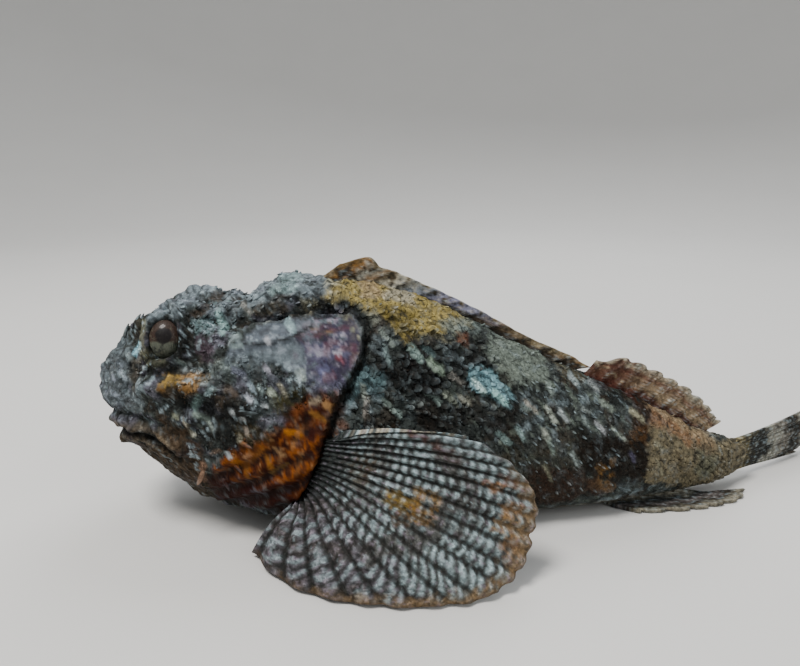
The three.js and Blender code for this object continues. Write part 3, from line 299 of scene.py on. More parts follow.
# Dots and dashes seen from the side: start and end (x, z), half width, colour, strength.
DASHES = (
    # Head
    ((-63.5, 69), (-66, 65.5), 1.1, (0.3, 0.55, 0.65), 0.95),
    ((-62.5, 69.8), (-64, 67.5), 0.6, (0.42, 0.58, 0.6), 0.9),
    ((-29, 51.5), (-28, 50.5), 0.7, (0.34, 0.37, 0.38), 0.9),
    ((-25.5, 49), (-24.5, 48.5), 0.6, (0.34, 0.36, 0.36), 0.9),
    ((-18, 53.5), (-17.5, 53), 0.7, (0.3, 0.33, 0.34), 0.9),
    ((-23.5, 56), (-22, 55), 0.8, (0.3, 0.32, 0.36), 0.85),
    ((-43.5, 42), (-43, 41.5), 0.9, (0.38, 0.38, 0.3), 0.9),
    ((-31, 35.5), (-30, 34.5), 0.8, (0.36, 0.4, 0.42), 0.9),
    ((-26.5, 42.5), (-26.5, 41), 0.8, (0.25, 0.24, 0.18), 0.8),
    ((-37.5, 34.5), (-34, 36.5), 0.5, (0.28, 0.2, 0.15), 0.8),
    ((-46, 46), (-45, 45), 0.6, (0.22, 0.2, 0.15), 0.85),
    ((-49.5, 48), (-48.5, 47), 0.7, (0.2, 0.21, 0.15), 0.8),
    ((-42, 49), (-37.5, 47), 0.8, (0.2, 0.25, 0.22), 0.8),
    ((-37, 45.5), (-36, 44), 0.6, (0.22, 0.26, 0.24), 0.8),
    ((-24, 45.5), (-24, 44), 0.7, (0.28, 0.24, 0.2), 0.8),
    ((-16, 58), (-14.5, 57), 0.9, (0.3, 0.34, 0.28), 0.85),
    ((-42, 51), (-39.5, 55.5), 1.2, (0.12, 0.18, 0.17), 0.7),
    ((-30.5, 58.5), (-27.5, 56.5), 0.8, (0.09, 0.07, 0.055), 0.75),
    ((-23, 59.5), (-21.5, 58), 0.8, (0.22, 0.28, 0.32), 0.8),
    ((-19.5, 59), (-18.5, 57.5), 0.7, (0.2, 0.26, 0.26), 0.75),
    ((-12.5, 60), (-10.5, 56.5), 0.7, (0.22, 0.21, 0.16), 0.8),
    ((-17.5, 65), (-16, 63.5), 0.7, (0.26, 0.26, 0.3), 0.8),
    ((-28, 64.5), (-25, 62.5), 0.8, (0.14, 0.15, 0.2), 0.7),
    ((-36.5, 56.5), (-35, 58.5), 0.8, (0.2, 0.27, 0.28), 0.8),
    ((-48.5, 65), (-47, 63.5), 0.8, (0.2, 0.25, 0.24), 0.8),
    ((-72, 59), (-69, 57), 0.5, (0.24, 0.28, 0.32), 0.8),
    ((-73.5, 61.5), (-71.5, 60.5), 0.5, (0.22, 0.26, 0.3), 0.8),
    ((-76, 57), (-74, 55.5), 0.5, (0.24, 0.27, 0.32), 0.8),
    ((-75, 52), (-72, 51), 0.5, (0.2, 0.23, 0.27), 0.8),
    ((-79, 50), (-77, 48), 0.5, (0.22, 0.25, 0.3), 0.8),
    ((-70, 53), (-67.5, 52), 0.5, (0.2, 0.24, 0.26), 0.8),
    ((-70, 65), (-68, 63.5), 0.5, (0.22, 0.27, 0.28), 0.8),
    ((-68.5, 47), (-63, 48), 1.1, (0.16, 0.19, 0.2), 0.7),
    ((-65.5, 50.5), (-62, 50), 0.9, (0.2, 0.24, 0.26), 0.7),
    ((-11, 78.5), (-9, 76.5), 1.1, (0.26, 0.36, 0.38), 0.8),
    ((-17.5, 73.5), (-16.5, 73), 0.8, (0.34, 0.35, 0.38), 0.8),
    ((-36, 80), (-33.5, 75), 1.1, (0.22, 0.34, 0.33), 0.8),
    ((-28, 82.5), (-25, 80), 0.7, (0.24, 0.24, 0.22), 0.75),
    ((-30, 73), (-27.5, 74), 1.0, (0.2, 0.25, 0.25), 0.7),
    ((-29, 71), (-26, 71.5), 0.8, (0.17, 0.22, 0.22), 0.7),
    ((-10.5, 45), (-6, 44), 1.1, (0.25, 0.085, 0.008), 0.9),
    ((-6, 45.5), (-8.5, 39.5), 0.6, (0.24, 0.1, 0.03), 0.9),
    ((-29, 33), (-25, 31.5), 1.5, (0.19, 0.06, 0.004), 0.9),
    ((-25, 35), (-23.5, 36), 0.7, (0.3, 0.16, 0.08), 0.8),
    ((-17.5, 35.5), (-16, 31.5), 0.8, (0.22, 0.085, 0.012), 0.85),
    ((-14.5, 39), (-12, 36.5), 0.6, (0.26, 0.15, 0.07), 0.8),
    ((-22.5, 34), (-18.5, 39), 0.7, (0.18, 0.065, 0.01), 0.8),
    ((-16.5, 29.5), (-11, 33), 0.6, (0.22, 0.12, 0.03), 0.7),
    ((-25, 30.5), (-24.5, 26.5), 0.6, (0.16, 0.06, 0.01), 0.8),
    ((-30.5, 25.5), (-27, 24), 0.8, (0.1, 0.03, 0.006), 0.8),
    ((-6, 36.5), (-7.5, 30), 0.6, (0.12, 0.05, 0.015), 0.7),
    ((-2.5, 54), (0, 55.5), 0.8, (0.24, 0.19, 0.13), 0.8),
    ((2.5, 54.5), (4.5, 53), 0.9, (0.24, 0.13, 0.05), 0.8),
    ((-2, 51), (2.5, 49), 0.9, (0.18, 0.08, 0.015), 0.8),
    ((2.5, 36), (1.5, 27), 0.7, (0.28, 0.22, 0.18), 0.8),
    ((-40.5, 30), (-43, 21), 1.1, (0.17, 0.1, 0.065), 0.9),
    # Trunk and tail stalk
    ((71, 49), (75, 45), 0.5, (0.28, 0.26, 0.22), 0.85),
    ((79, 46), (82, 41), 0.6, (0.3, 0.33, 0.28), 0.9),
    ((84, 44.5), (86.5, 41), 0.7, (0.32, 0.36, 0.36), 0.9),
    ((98, 39), (101, 35.5), 0.6, (0.28, 0.29, 0.3), 0.9),
    ((104.5, 36), (109.5, 31.5), 0.5, (0.26, 0.3, 0.26), 0.85),
    ((100.5, 45.5), (105, 42), 0.9, (0.17, 0.2, 0.17), 0.8),
    ((112.5, 40.5), (117.5, 37), 0.7, (0.24, 0.23, 0.16), 0.85),
    ((61, 39.5), (65, 36), 0.9, (0.15, 0.21, 0.2), 0.8),
    ((68, 40.5), (70, 37), 0.7, (0.19, 0.26, 0.25), 0.8),
    ((77.5, 39), (79.5, 35.5), 0.8, (0.24, 0.26, 0.22), 0.8),
    ((88.5, 29.5), (91, 25), 0.7, (0.22, 0.26, 0.25), 0.8),
    ((78.5, 26), (81, 20), 0.6, (0.17, 0.17, 0.12), 0.75),
    ((79.5, 35.5), (81, 31), 0.7, (0.18, 0.23, 0.2), 0.75),
    ((93, 41), (95, 38), 0.6, (0.2, 0.24, 0.23), 0.8),
    ((80, 53), (81.5, 50), 0.7, (0.2, 0.24, 0.22), 0.8),
    ((89.5, 54), (91.5, 51.5), 0.8, (0.24, 0.28, 0.28), 0.8),
    ((93, 44), (95.5, 42.5), 0.6, (0.2, 0.23, 0.22), 0.8),
    ((111.5, 27), (113.5, 23), 0.7, (0.06, 0.055, 0.09), 0.8),
    ((52.5, 57.5), (56, 53.5), 0.9, (0.38, 0.52, 0.5), 0.9),
    ((59.5, 53.5), (63.5, 49.5), 0.9, (0.3, 0.5, 0.48), 0.9),
    ((30.5, 69.5), (34, 66), 1.1, (0.16, 0.22, 0.2), 0.85),
    ((37, 65.5), (41.5, 61.5), 0.9, (0.17, 0.22, 0.17), 0.8),
    ((44, 60.5), (48.5, 57.5), 0.8, (0.2, 0.19, 0.17), 0.75),
    ((20.5, 75), (25, 71), 0.7, (0.16, 0.19, 0.17), 0.8),
    ((21.5, 70), (23.5, 66), 0.7, (0.12, 0.16, 0.16), 0.8),
    ((35, 69), (38, 67), 0.7, (0.1, 0.15, 0.15), 0.7),
    ((14.5, 58.5), (16, 54.5), 0.9, (0.22, 0.25, 0.22), 0.8),
    ((16, 54.5), (15, 50), 0.7, (0.2, 0.18, 0.16), 0.8),
    ((16.5, 62), (21.5, 59.5), 0.6, (0.1, 0.16, 0.17), 0.8),
    ((11, 59), (14.5, 63), 0.6, (0.1, 0.16, 0.17), 0.8),
    ((36.5, 55), (40.5, 52.5), 0.8, (0.17, 0.22, 0.2), 0.8),
    ((42, 55), (46, 51.5), 0.8, (0.18, 0.2, 0.16), 0.8),
    ((21.5, 54.5), (26.5, 49.5), 0.8, (0.15, 0.19, 0.17), 0.75),
    ((25.5, 50.5), (27, 48.5), 0.7, (0.2, 0.26, 0.24), 0.8),
    ((31.5, 52.5), (35, 53), 0.7, (0.15, 0.17, 0.16), 0.7),
    ((47.5, 53), (50.5, 51), 0.8, (0.2, 0.2, 0.16), 0.75),
    ((7.5, 47), (9, 46), 1.3, (0.09, 0.045, 0.03), 0.8),
    ((112.5, 55), (116.5, 51.5), 0.7, (0.2, 0.15, 0.11), 0.8),
    ((117, 50), (120, 45.5), 0.6, (0.2, 0.19, 0.13), 0.8),
    ((120.5, 52.5), (122.5, 51), 0.7, (0.16, 0.05, 0.04), 0.8),
    ((122, 29), (126, 25.5), 0.7, (0.22, 0.21, 0.15), 0.7),
    ((123.5, 21.5), (126, 16), 0.6, (0.2, 0.19, 0.13), 0.6),
    ((131.5, 23.5), (135, 18.5), 0.6, (0.06, 0.045, 0.025), 0.6),
    ((97.5, 51), (100, 48.5), 0.8, (0.2, 0.22, 0.22), 0.7),
)
GILL_SPINE = ((-26, 72.2), (-21, 72.2), (-14, 73), (-9.5, 74.2), (-5.5, 75.7), (-2.5, 77.5))
GILL_WEDGE = ((-24, 68), (-8, 68))
FIN_ROOT = ((0, 48), (10, 46), (8, 12), (-8, 12))


def mix(low, high, t):
    """Straight blend of two numbers or arrays."""
    return low + (high - low) * t


def smooth(low, high, value):
    """A soft step from 0 at low to 1 at high."""
    t = np.clip((value - low) / (high - low), 0.0, 1.0)
    return t * t * (3 - 2 * t)


def bell(distance, width):
    """1 at no distance, fading to 0 within about two widths."""
    return np.exp(-((distance / width) ** 2))


def smooth_table(places, values):
    """A smooth curve through the values that never overshoots them."""
    places, values = np.asarray(places, float), np.asarray(values, float)
    step = np.diff(values) / np.diff(places)
    slopes = np.zeros(len(values))
    same = step[:-1] * step[1:] > 0
    total = np.where(same, step[:-1] + step[1:], 1.0)
    slopes[1:-1] = np.where(same, 2 * step[:-1] * step[1:] / total, 0.0)

    def at(x):
        x = np.clip(np.asarray(x, float), places[0], places[-1])
        i = np.clip(np.searchsorted(places, x, side="right") - 1, 0, len(places) - 2)
        width = places[i + 1] - places[i]
        t = (x - places[i]) / width
        rest = 1 - t
        return ((1 + 2 * t) * rest**2 * values[i] + t * rest**2 * width * slopes[i]
                + t * t * (3 - 2 * t) * values[i + 1] - t * t * rest * width * slopes[i + 1])
    return at


def smooth_path(rows):
    """A smooth curve in space through rows of place, x, y, z."""
    table = np.array(rows, float)
    parts = [smooth_table(table[:, 0], table[:, k]) for k in (1, 2, 3)]
    return lambda f: np.stack([part(f) for part in parts], axis=-1)


TOP, BOTTOM, HALF, LEVEL, UPPER, LOWER = (
    smooth_table(STATIONS[:, 0], STATIONS[:, k]) for k in range(1, 7)
)


def midline(s):
    """Place and directions of the body's midline at distance s from the snout."""
    turn = np.maximum(0.0, s - BEND_START) / BEND_RADIUS
    straight = np.minimum(s, BEND_START)
    x = SNOUT_X + straight + BEND_RADIUS * np.sin(turn)
    y = BEND_RADIUS * (1 - np.cos(turn))
    return x, y, np.cos(turn), np.sin(turn)


def section(s, angle):
    """A point of the smooth body; angle 0 is the right side and a quarter turn the back."""
    x, y, along_x, along_y = midline(s)
    up = np.sin(angle) >= 0
    power = 2 / np.where(up, UPPER(s), LOWER(s))
    cosine, sine = (
        np.sign(part) * np.abs(part) ** power for part in (np.cos(angle), np.sin(angle))
    )
    level = LEVEL(s)
    sideways = HALF(s) * cosine
    reach = np.where(up, TOP(s) - level, level - BOTTOM(s))
    return np.stack([x - along_y * sideways, y + along_x * sideways, level + reach * sine], axis=-1)


def unit(vectors):
    """Vectors brought to length one."""
    return vectors / (np.linalg.norm(vectors, axis=-1, keepdims=True) + 1e-12)


def section_normal(s, angle):
    """Outward direction of the smooth body."""
    s = np.clip(s, 0.6, BODY_LENGTH - 0.6)
    along = section(s + 0.5, angle) - section(s - 0.5, angle)
    around = section(s, angle + ANGLE_STEP) - section(s, angle - ANGLE_STEP)
    return unit(np.cross(around, along))


def noise_spots(points, size, shift):
    """Places of the points in a noise whose lumps are size millimetres across."""
    return map(Vector, (np.asarray(points) / size + shift).tolist())


def noise_field(points, size, octaves=1, shift=0.0):
    """Smooth noise of about -1 to 1."""
    spots = noise_spots(points, size, shift)
    if octaves == 1:
        return np.array([noise.noise(spot) for spot in spots])
    return np.array([noise.fractal(spot, 0.9, 2.1, octaves) for spot in spots])


def cell_distance(points, size):
    """Distance to the nearest cell centre, in cell sizes."""
    return np.array([noise.voronoi(spot)[0][0] for spot in noise_spots(points, size, 0.0)])


def mirrored(points):
    """The same points with their right side folded on to the left."""
    folded = np.array(points, float)
    folded[:, 1] = np.abs(folded[:, 1])
    return folded


def line_distance(points, start, end):
    """Distance of each point from a line."""
    start, line = np.array(start, float), np.array(end, float) - np.array(start, float)
    t = np.clip(((points - start) @ line) / (line @ line), 0, 1)
    return np.linalg.norm(points - start - t[:, None] * line, axis=1)


def chain_distance(points, corners):
    """Distance from a chain of lines seen from the side, and on which side of it a point lies."""
    flat = points[:, (0, 2)]
    best = np.full(len(flat), np.inf)
    side = np.ones(len(flat))
    for first, second in zip(corners[:-1], corners[1:]):
        start, line = np.array(first, float), np.subtract(second, first).astype(float)
        offset = flat - start
        distance = line_distance(flat, first, second)
        cross = line[0] * offset[:, 1] - line[1] * offset[:, 0]
        nearer = distance < best
        best[nearer] = distance[nearer]
        side[nearer] = np.sign(cross[nearer])
    return best, side


def outline_depth(points, corners):
    """How far inside an outline seen from the side each point lies; negative outside."""
    closed = corners + corners[:1]
    distance, _ = chain_distance(points, closed)
    x, z = points[:, 0], points[:, 2]
    inside = np.zeros(len(points), bool)
    for (x1, z1), (x2, z2) in zip(closed[:-1], closed[1:]):
        meets = x1 + (z - z1) / (z2 - z1 if z2 != z1 else 1e-9) * (x2 - x1)
        inside ^= ((z1 > z) != (z2 > z)) & (x < meets)
    return np.where(inside, distance, -distance)


def eye_offset(points):
    """Distance from the line on which an eye looks out of the head."""
    offset = mirrored(points) - EYE_CENTRE
    along = offset @ SOCKET_AXIS
    return np.linalg.norm(offset - along[:, None] * SOCKET_AXIS, axis=1), along


def throat_folds(points):
    """Slanting folds of the throat, from -1 in a groove to 1 on a ridge."""
    slant = points[:, 2] * 0.75 - points[:, 0] * 0.42
    return np.sin(slant * 1.05 + noise_field(points, 12) * 1.6)


def skin_lift(points, s):
    """How far the skin stands out from the smooth body, how much painted shade its crevices get, and its
    crust.
    """
    x, z = points[:, 0], points[:, 2]
    folded = mirrored(points)
    lift = np.full(len(points), -0.5)
    for start, end, reach, rise in RELIEF:
        lift += rise * bell(line_distance(folded, start, end), reach)

    # Mouth, gill slit and eye socket
    cleft = bell(chain_distance(points, MOUTH)[0], 1.5) * smooth(-48, -53, x)
    crease = bell(chain_distance(points, LIP_GROOVE)[0], 1.1) * smooth(-50, -56, x)
    lift -= 3.2 * cleft + 1.8 * crease
    gill, side = chain_distance(folded, GILL_EDGE)
    inside = side < 0
    flap = np.where(inside, 1.7 * np.exp(-gill / 6), 0.0)
    slit = np.where(inside, 0.0, bell(gill - 1.0, 1.6))
    fade = np.where(z < 9, 0.25, 1.0)
    lift += fade * (flap - 2.9 * slit)
    from_axis, along = eye_offset(points)
    upper = smooth(68, 76, z)
    cup = np.where(along > 0, 1 - smooth(6.0, 8.4, from_axis + 1.6 * upper), 0.0)
    rim = np.where(along > 0, bell(from_axis - 9.2 + 1.4 * upper, 1.7), 0.0)
    lift += rim * (1.6 + 2.2 * upper) - 3.2 * cup

    # Chin, throat and lips
    lift -= (smooth(-44, -60, x) + 1.6 * smooth(-52, -76, x)) * smooth(35, 28, z)
    throat = smooth(44, 30, z) * smooth(-46, -34, x) * smooth(6, -4, x)
    fold = throat_folds(points)
    lift += 0.85 * throat * fold
    muzzle = smooth(-70, -80, x) * smooth(49, 42, z)
    jaw = smooth(-40, -55, x) * smooth(36, 28, z)
    lift -= 1.2 * muzzle + 2.4 * smooth(-72, -82, x) * smooth(46, 40, z)

    # Lumps, knobs and warts, finest on the head and weak on the gill flap
    smoothness = smooth(-1.0, 1.5, outline_depth(folded, GILL_FLAP))
    rough = (1 - 0.75 * smoothness) * (1 - 0.65 * throat) * (1 - 0.8 * cup) * smooth(1.0, 7.0, z)
    rough = rough * (1 - 0.6 * np.maximum(muzzle, jaw))
    swells = noise_field(points, 15.0, 1, 12.0)
    lumps = noise_field(points, 8.0, 3)
    knobs = noise_field(points, 4.4, 2, 6.0)
    warts = np.clip(1 - cell_distance(points, 2.7) / 0.6, 0, 1) ** 1.4
    warts = warts * smooth(-0.2, 0.35, noise_field(points, 10.0, 1, 4.0))
    ridged = 1 - np.abs(noise_field(points, 5.2, 2, 9.0)) * 2.4
    height = bpy.context.scene.scorpionfish_body.wart_height / MM
    on_head = 1 - smooth(90, 112, s)
    lift += rough * mix(0.5, 1.0, on_head) * height * (
        0.9 * swells + 1.1 * lumps + 0.75 * knobs + 0.7 * warts + 0.4 * ridged)

    belly = smooth(5, 1.5, z)
    lift = lift * (1 - belly) - 0.5 * belly
    # Painted shade for the mouth cleft, lip crease, gill slit, eye socket, pits of the lumps and throat
    # grooves
    pits = smooth(0.1, -0.9, 0.5 * swells + 1.1 * lumps + 0.75 * knobs + 0.3 * ridged) * rough
    crevice_shade = np.clip(cleft + 0.6 * crease + fade * slit + 0.5 * cup * (from_axis > 7.6), 0, 1)
    crevice_shade = np.maximum(crevice_shade, 0.75 * pits)
    crevice_shade = np.maximum(crevice_shade, throat * 0.6 * smooth(0.2, -0.8, fold))
    return lift, crevice_shade, 1 - 0.6 * smoothness


def skin_surface(s, angle):
    """Point, outward direction, painted crevice shade and crust of the finished skin."""
    points = section(s, angle)
    normal = section_normal(s, angle)
    lift, crevice_shade, crust = skin_lift(points, s)
    points = points + normal * lift[:, None]
    points[:, 2] = np.maximum(points[:, 2], SKIN_FLOOR)
    return points, normal, crevice_shade, crust


def painted(colour, *layers):
    """A colour with layers over it, each a colour and how much of it shows at each point."""
    colour = np.asarray(colour, float)
    for tint, amount in layers:
        colour = colour + (np.array(tint) - colour) * np.clip(amount, 0, 1)[:, None]
    return colour


def skin_marking(points, crevice_shade, crust):
    """The colour pattern of the skin with painted shade in its crevices, and its crust in the fourth
    channel.
    """
    x, y, z = points.T
    folded = mirrored(points)
    broad = noise_field(points, 12.0, 2)
    medium = noise_field(points, 4.6, 3, 3.0)
    fine = noise_field(points, 2.0, 2, 7.0)
    hue = noise_field(points, 7.5, 2, 51.0)
    ragged = 0.5 * broad + 1.1 * medium + 0.7 * fine

    # Ground colour, and slanting pale streaks on the rear of the flank
    slant = np.stack([x + z * 0.8, y, z - x * 0.8], axis=-1)
    streak = noise_field(slant * np.array([0.75, 0.8, 0.26]), 1.9, 2, 5.0)
    flank = smooth(26, 50, x) * smooth(122, 100, x) * smooth(4, 12, z)
    colour = painted(
        MID,
        (DARK, 0.9 * smooth(-0.1, 0.25, broad + 0.8 * medium)),
        (PALE, 0.85 * smooth(0.1, 0.42, medium - 0.3 * broad + 0.4 * fine)),
        ((0.13, 0.12, 0.165), 0.5 * smooth(10, -10, x) * smooth(0.05, 0.35, hue)),
        (BROWN, 0.6 * smooth(0.12, 0.4, -hue)),
        ((0.115, 0.14, 0.115), flank * smooth(0.22, 0.48, streak) * 0.6),
        (DARK, flank * smooth(-0.05, 0.25, -streak) * 0.65),
    )
    for outline, tint, strength, soft, rough_edge in OUTLINED:
        depth = outline_depth(points, outline) + 0.4 + rough_edge * ragged
        broken = strength * (1 - 0.4 * smooth(0.05, 0.45, fine + 0.5 * medium) * crust)
        colour = painted(colour, (tint, broken * smooth(-soft, soft, depth)))

    # A net of orange over the dark red of the throat, which is darkened partly as painted shade under
    # the head
    in_throat = smooth(-2, 2, outline_depth(points, THROAT) + 2 * ragged)
    net = 1 - 2.4 * np.abs(noise_field(points, 5.5, 2, 21.0))
    fold = throat_folds(points)
    glow = in_throat * smooth(18, 29, z + 5 * broad + 0.12 * x) * mix(1.0, 0.35, smooth(38, 50, z))
    # Grey and violet mottling of the gill flap, away from its smooth wedge
    flap = smooth(-0.5, 1.5, outline_depth(folded, GILL_FLAP))
    rear = flap * smooth(-9, 0, x + 4 * medium)
    front = flap * smooth(0.5, 2.5, line_distance(folded[:, (0, 2)], *GILL_WEDGE))
    # Lips, the painted shade in the closed mouth's gap, and the thin dark spine across the gill flap
    mouth, side = chain_distance(points, MOUTH)
    near = smooth(-48, -53, x)
    lips = bell(mouth - 2.8, 1.4) * near
    spine, _ = chain_distance(points, GILL_SPINE)
    # Crust of dark and pale flecks
    crust = crust * (1 - 0.75 * in_throat)
    face = smooth(6, -8, x) * (1 - in_throat) * crust
    face = face * smooth(0.0, 0.3, noise_field(points, 9.0, 1, 15.0))
    colour = painted(
        colour,
        ((0.075, 0.02, 0.003), 0.85 * glow * smooth(-0.5, 0.5, medium + 0.3 * fold)),
        (ORANGE, 0.9 * glow * smooth(0.4, 0.85, net + 0.2 * fold + 0.3 * fine)),
        ((0.24, 0.12, 0.045), 0.6 * glow * smooth(0.3, 0.55, fine + 0.3 * medium)),
        ((0.035, 0.038, 0.045), 0.65 * front * smooth(0.05, 0.35, medium)),
        ((0.2, 0.23, 0.26), 0.7 * front * smooth(0.2, 0.45, fine - 0.4 * medium)),
        ((0.024, 0.018, 0.036), 0.85 * rear * smooth(0.05, 0.3, hue + 0.8 * fine)),
        ((0.3, 0.27, 0.33), 0.5 * rear * smooth(0.15, 0.4, -hue + 0.9 * fine)),
        ((0.1, 0.04, 0.055), 0.45 * rear * smooth(0.2, 0.4, medium - 0.4 * hue)),
        ((0.13, 0.1, 0.065), 0.75 * lips * (side > 0) * smooth(-0.5, 0.1, medium + 0.3)),
        ((0.13, 0.105, 0.075), 0.6 * lips * (side < 0) * smooth(-0.2, 0.2, fine + 0.1)),
        # Painted shade in the gap of the mouth
        (BLACK, 0.9 * bell(mouth, 1.7) * near),
        (BLACK, 0.9 * bell(spine, 0.7)),
        (DARK, crust * 0.75 * smooth(0.2, 0.5, -fine - 0.3 * medium)),
        (FLECK, 0.5 * face * smooth(0.25, 0.45, fine + 0.3 * medium)),
    )
    for start, end, half, tint, strength in DASHES:
        distance = line_distance(points[:, (0, 2)], start, end) + 0.5 * fine
        colour = painted(colour, (tint, strength * smooth(half + 0.45, half - 0.35, distance)))
    # Black painted shade in the crevices, pits and sockets
    colour = painted(colour, (BLACK, 0.88 * crevice_shade))
    return np.concatenate([colour, crust[:, None]], axis=1)


# Meshes

def shaped_grid(columns, rows, place, copies=1):
    """Grids of columns by rows shaped by place(u, v, side), which returns points and colours.

    The first grid has side 1. A second one has side -1 and is merged with the first where they
    meet, so that a tube or a plate is closed.
    """
    bm = bmesh.new()
    layer = bm.verts.layers.float_color.new("marking")
    for side in (1, -1)[:copies]:
        made = bmesh.ops.create_grid(bm, x_segments=columns, y_segments=rows, size=0.5)["verts"]
        flat = np.array([vert.co[:2] for vert in made]) + 0.5
        points, colours = place(flat[:, 0], flat[:, 1], side)
        for vert, point, colour in zip(made, (points * MM).tolist(), colours.tolist()):
            vert.co = point
            vert[layer] = colour
    bmesh.ops.remove_doubles(bm, verts=bm.verts, dist=MERGE_DISTANCE)
    bmesh.ops.recalc_face_normals(bm, faces=bm.faces)
    return bm


def smooth_mesh(name, bm):
    """The smooth-shaded mesh of a finished bmesh."""
    for face in bm.faces:
        face.smooth = True
    mesh = bpy.data.meshes.new(name)
    bm.to_mesh(mesh)
    bm.free()
    return mesh


def add_object(name, data, place=(0, 0, 0), turn=(0, 0, 0)):
    """An object of this data, linked to the scene."""
    made = bpy.data.objects.new(name, data)
    made.location, made.rotation_euler = place, turn
    bpy.context.scene.collection.objects.link(made)
    return made


def add_piece(name, mesh, material, slot, *nodes):
    """A piece that rides on the fish and takes the place of nodes of the solids, if any."""
    mesh.materials.append(material)
    piece = add_object(name, mesh)
    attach(piece, "root")
    if nodes:
        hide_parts(*nodes)


def body_skin(look):
    """The one skin over head, jaw, gill covers, trunk and tail stalk."""
    snout_cap, tail_cap = 0.02, 0.03  # Shares of the rings that close the ends
    cap_length = 8

    def place(u, v, _side):
        front = np.clip(u / snout_cap, 0, 1) * math.pi / 2
        back = np.clip((u - 1 + tail_cap) / tail_cap, 0, 1) * math.pi / 2
        share = np.clip((u - snout_cap) / (1 - snout_cap - tail_cap), 0, 1)
        s = BODY_LENGTH * (0.66 * share + 0.34 * share**2)  # Rings lie closer on the head
        points, _, crevice_shade, crust = skin_surface(s, TURN * v)
        centre_x, centre_y, along_x, along_y = midline(s)
        centre = np.stack([centre_x, centre_y, LEVEL(s)], axis=-1)
        points = centre + (points - centre) * (np.sin(front) * np.cos(back))[:, None]
        points[:, 0] += cap_length * along_x * np.sin(back) - 0.6 * np.cos(front)
        points[:, 1] += cap_length * along_y * np.sin(back)
        return points, skin_marking(points, crevice_shade, crust)
    return shaped_grid(look.rings, look.sides, place)


# Replicated small forms

def small_form(columns, rows, place):
    """A template: points and faces of two merged grids shaped by place(u, v, side) to x, y, z."""
    def uncoloured(u, v, side):
        return np.stack(place(u, v, side), axis=-1), np.zeros((len(u), 4))

    bm = shaped_grid(columns, rows, uncoloured, copies=2)
    bm.verts.ensure_lookup_table()
    points = np.array([vert.co[:] for vert in bm.verts]) / MM
    faces = [[vert.index for vert in face.verts] for face in bm.faces]
    bm.free()
    return points, faces


def leaf_form(columns, rows, width, thickness):
    """A thin rounded leaf one unit long, whose tip is width times as wide as its root."""
    def place(u, v, side):
        across = np.sin((u - 0.5) * math.pi)
        v = np.sin(v * math.pi / 2)
        outline = np.sqrt(np.clip(1 - (np.abs(2 * v - 1)) ** 2.6, 0, 1)) * mix(1.0, width, v)
        rise = np.sqrt(np.clip((1 - across**4) * outline, 0, 1))
        return 0.5 * across * outline, v, side * thickness * rise
    return small_form(columns, rows, place)


def spine_form():
    """A round taper one unit long that ends in a point."""
    def place(u, v, side):
        turn = math.pi * (u + (side < 0))
        swell = np.sqrt(np.clip(v / 0.12, 0, 1))
        size = 0.5 * swell * (1 - v) ** 0.62 * (1 + 0.12 * np.cos(3 * turn))
        return size * np.cos(turn), v, size * np.sin(turn)
    return small_form(6, 9, place)


def scattered_coat(name, template, rows):
    """Join copies of a template that grow from the skin into one piece with the skin's markings.

    Each row has distance from the snout, angle, length, width, thickness, bend, sink and tip
    brightness, then the lean.
    """
    points, _ = template
    s, angle, length, width, thick, bend, sink, bright = rows[:, :8].T[:, :, None]
    roots, normal, _, crust = skin_surface(s[:, 0], angle[:, 0])
    along = unit(normal + rows[:, 8:11])
    across = unit(np.cross(along, normal) + 1e-6)
    t = points[:, 1]
    shaped = roots[:, None]
    for reach, way in (
        (points[:, 0] * width, across),
        (t * length - sink, along),
        (points[:, 2] * thick + bend * length * t**2, unit(np.cross(across, along))),
    ):
        shaped = shaped + reach[..., None] * way[:, None]
    shaped[..., 2] = np.maximum(shaped[..., 2], COAT_FLOOR)
    # Painted shade toward each root and painted light toward each tip
    tint = coat_marking(shaped, np.repeat(crust, len(points)), mix(0.8, 1.08, t))
    toward = np.clip(np.clip(t - 0.35, 0, 1) * bright, 0, 1)
    tint[..., :3] += (np.array(FLECK) - tint[..., :3]) * toward[..., None]
    join_copies(name, template, shaped, tint, rows)


def laid_scales(name, template, rows):
    """Join thin scales that follow every lump of the skin into one piece with its markings.

    Each row has distance from the snout, angle, length, width, slope and rise of the tip.
    """
    points, _ = template
    s, angle, length, width, slope, rise = rows.T[:, :, None]
    step = section(rows[:, 0], rows[:, 1] + ANGLE_STEP) - section(rows[:, 0], rows[:, 1] - ANGLE_STEP)
    per_angle = np.linalg.norm(step, axis=1)[:, None] / (2 * ANGLE_STEP)
    down = np.where(np.cos(angle) < 0, 1.0, -1.0)
    t = points[:, 1]
    back = (t - 0.2) * length
    around = points[:, 0] * width + back * (slope * down)
    surface, normal, _, crust = skin_surface(
        np.clip(s + back, 1.0, BODY_LENGTH - 0.5).ravel(), (angle + around / per_angle).ravel())
    height = 0.08 + rise * t**1.5 + 0.1 * points[:, 2]
    # Painted shade toward each scale's root and painted light toward its tip
    tint = coat_marking(surface.reshape(len(rows), -1, 3), crust, mix(0.78, 1.1, t))
    join_copies(name, template, surface + normal * height.reshape(-1, 1), tint, rows)


def coat_marking(shaped, crust, shade):
    """The skin's markings on copies of a template, darkened toward the root as painted shade and lighter
    toward the tip as painted light.
    """
    tint = skin_marking(shaped.reshape(-1, 3), np.zeros(len(crust)), crust)
    tint = tint.reshape(*shaped.shape[:2], 4)
    tint[..., :3] *= shade[:, None]
    return tint


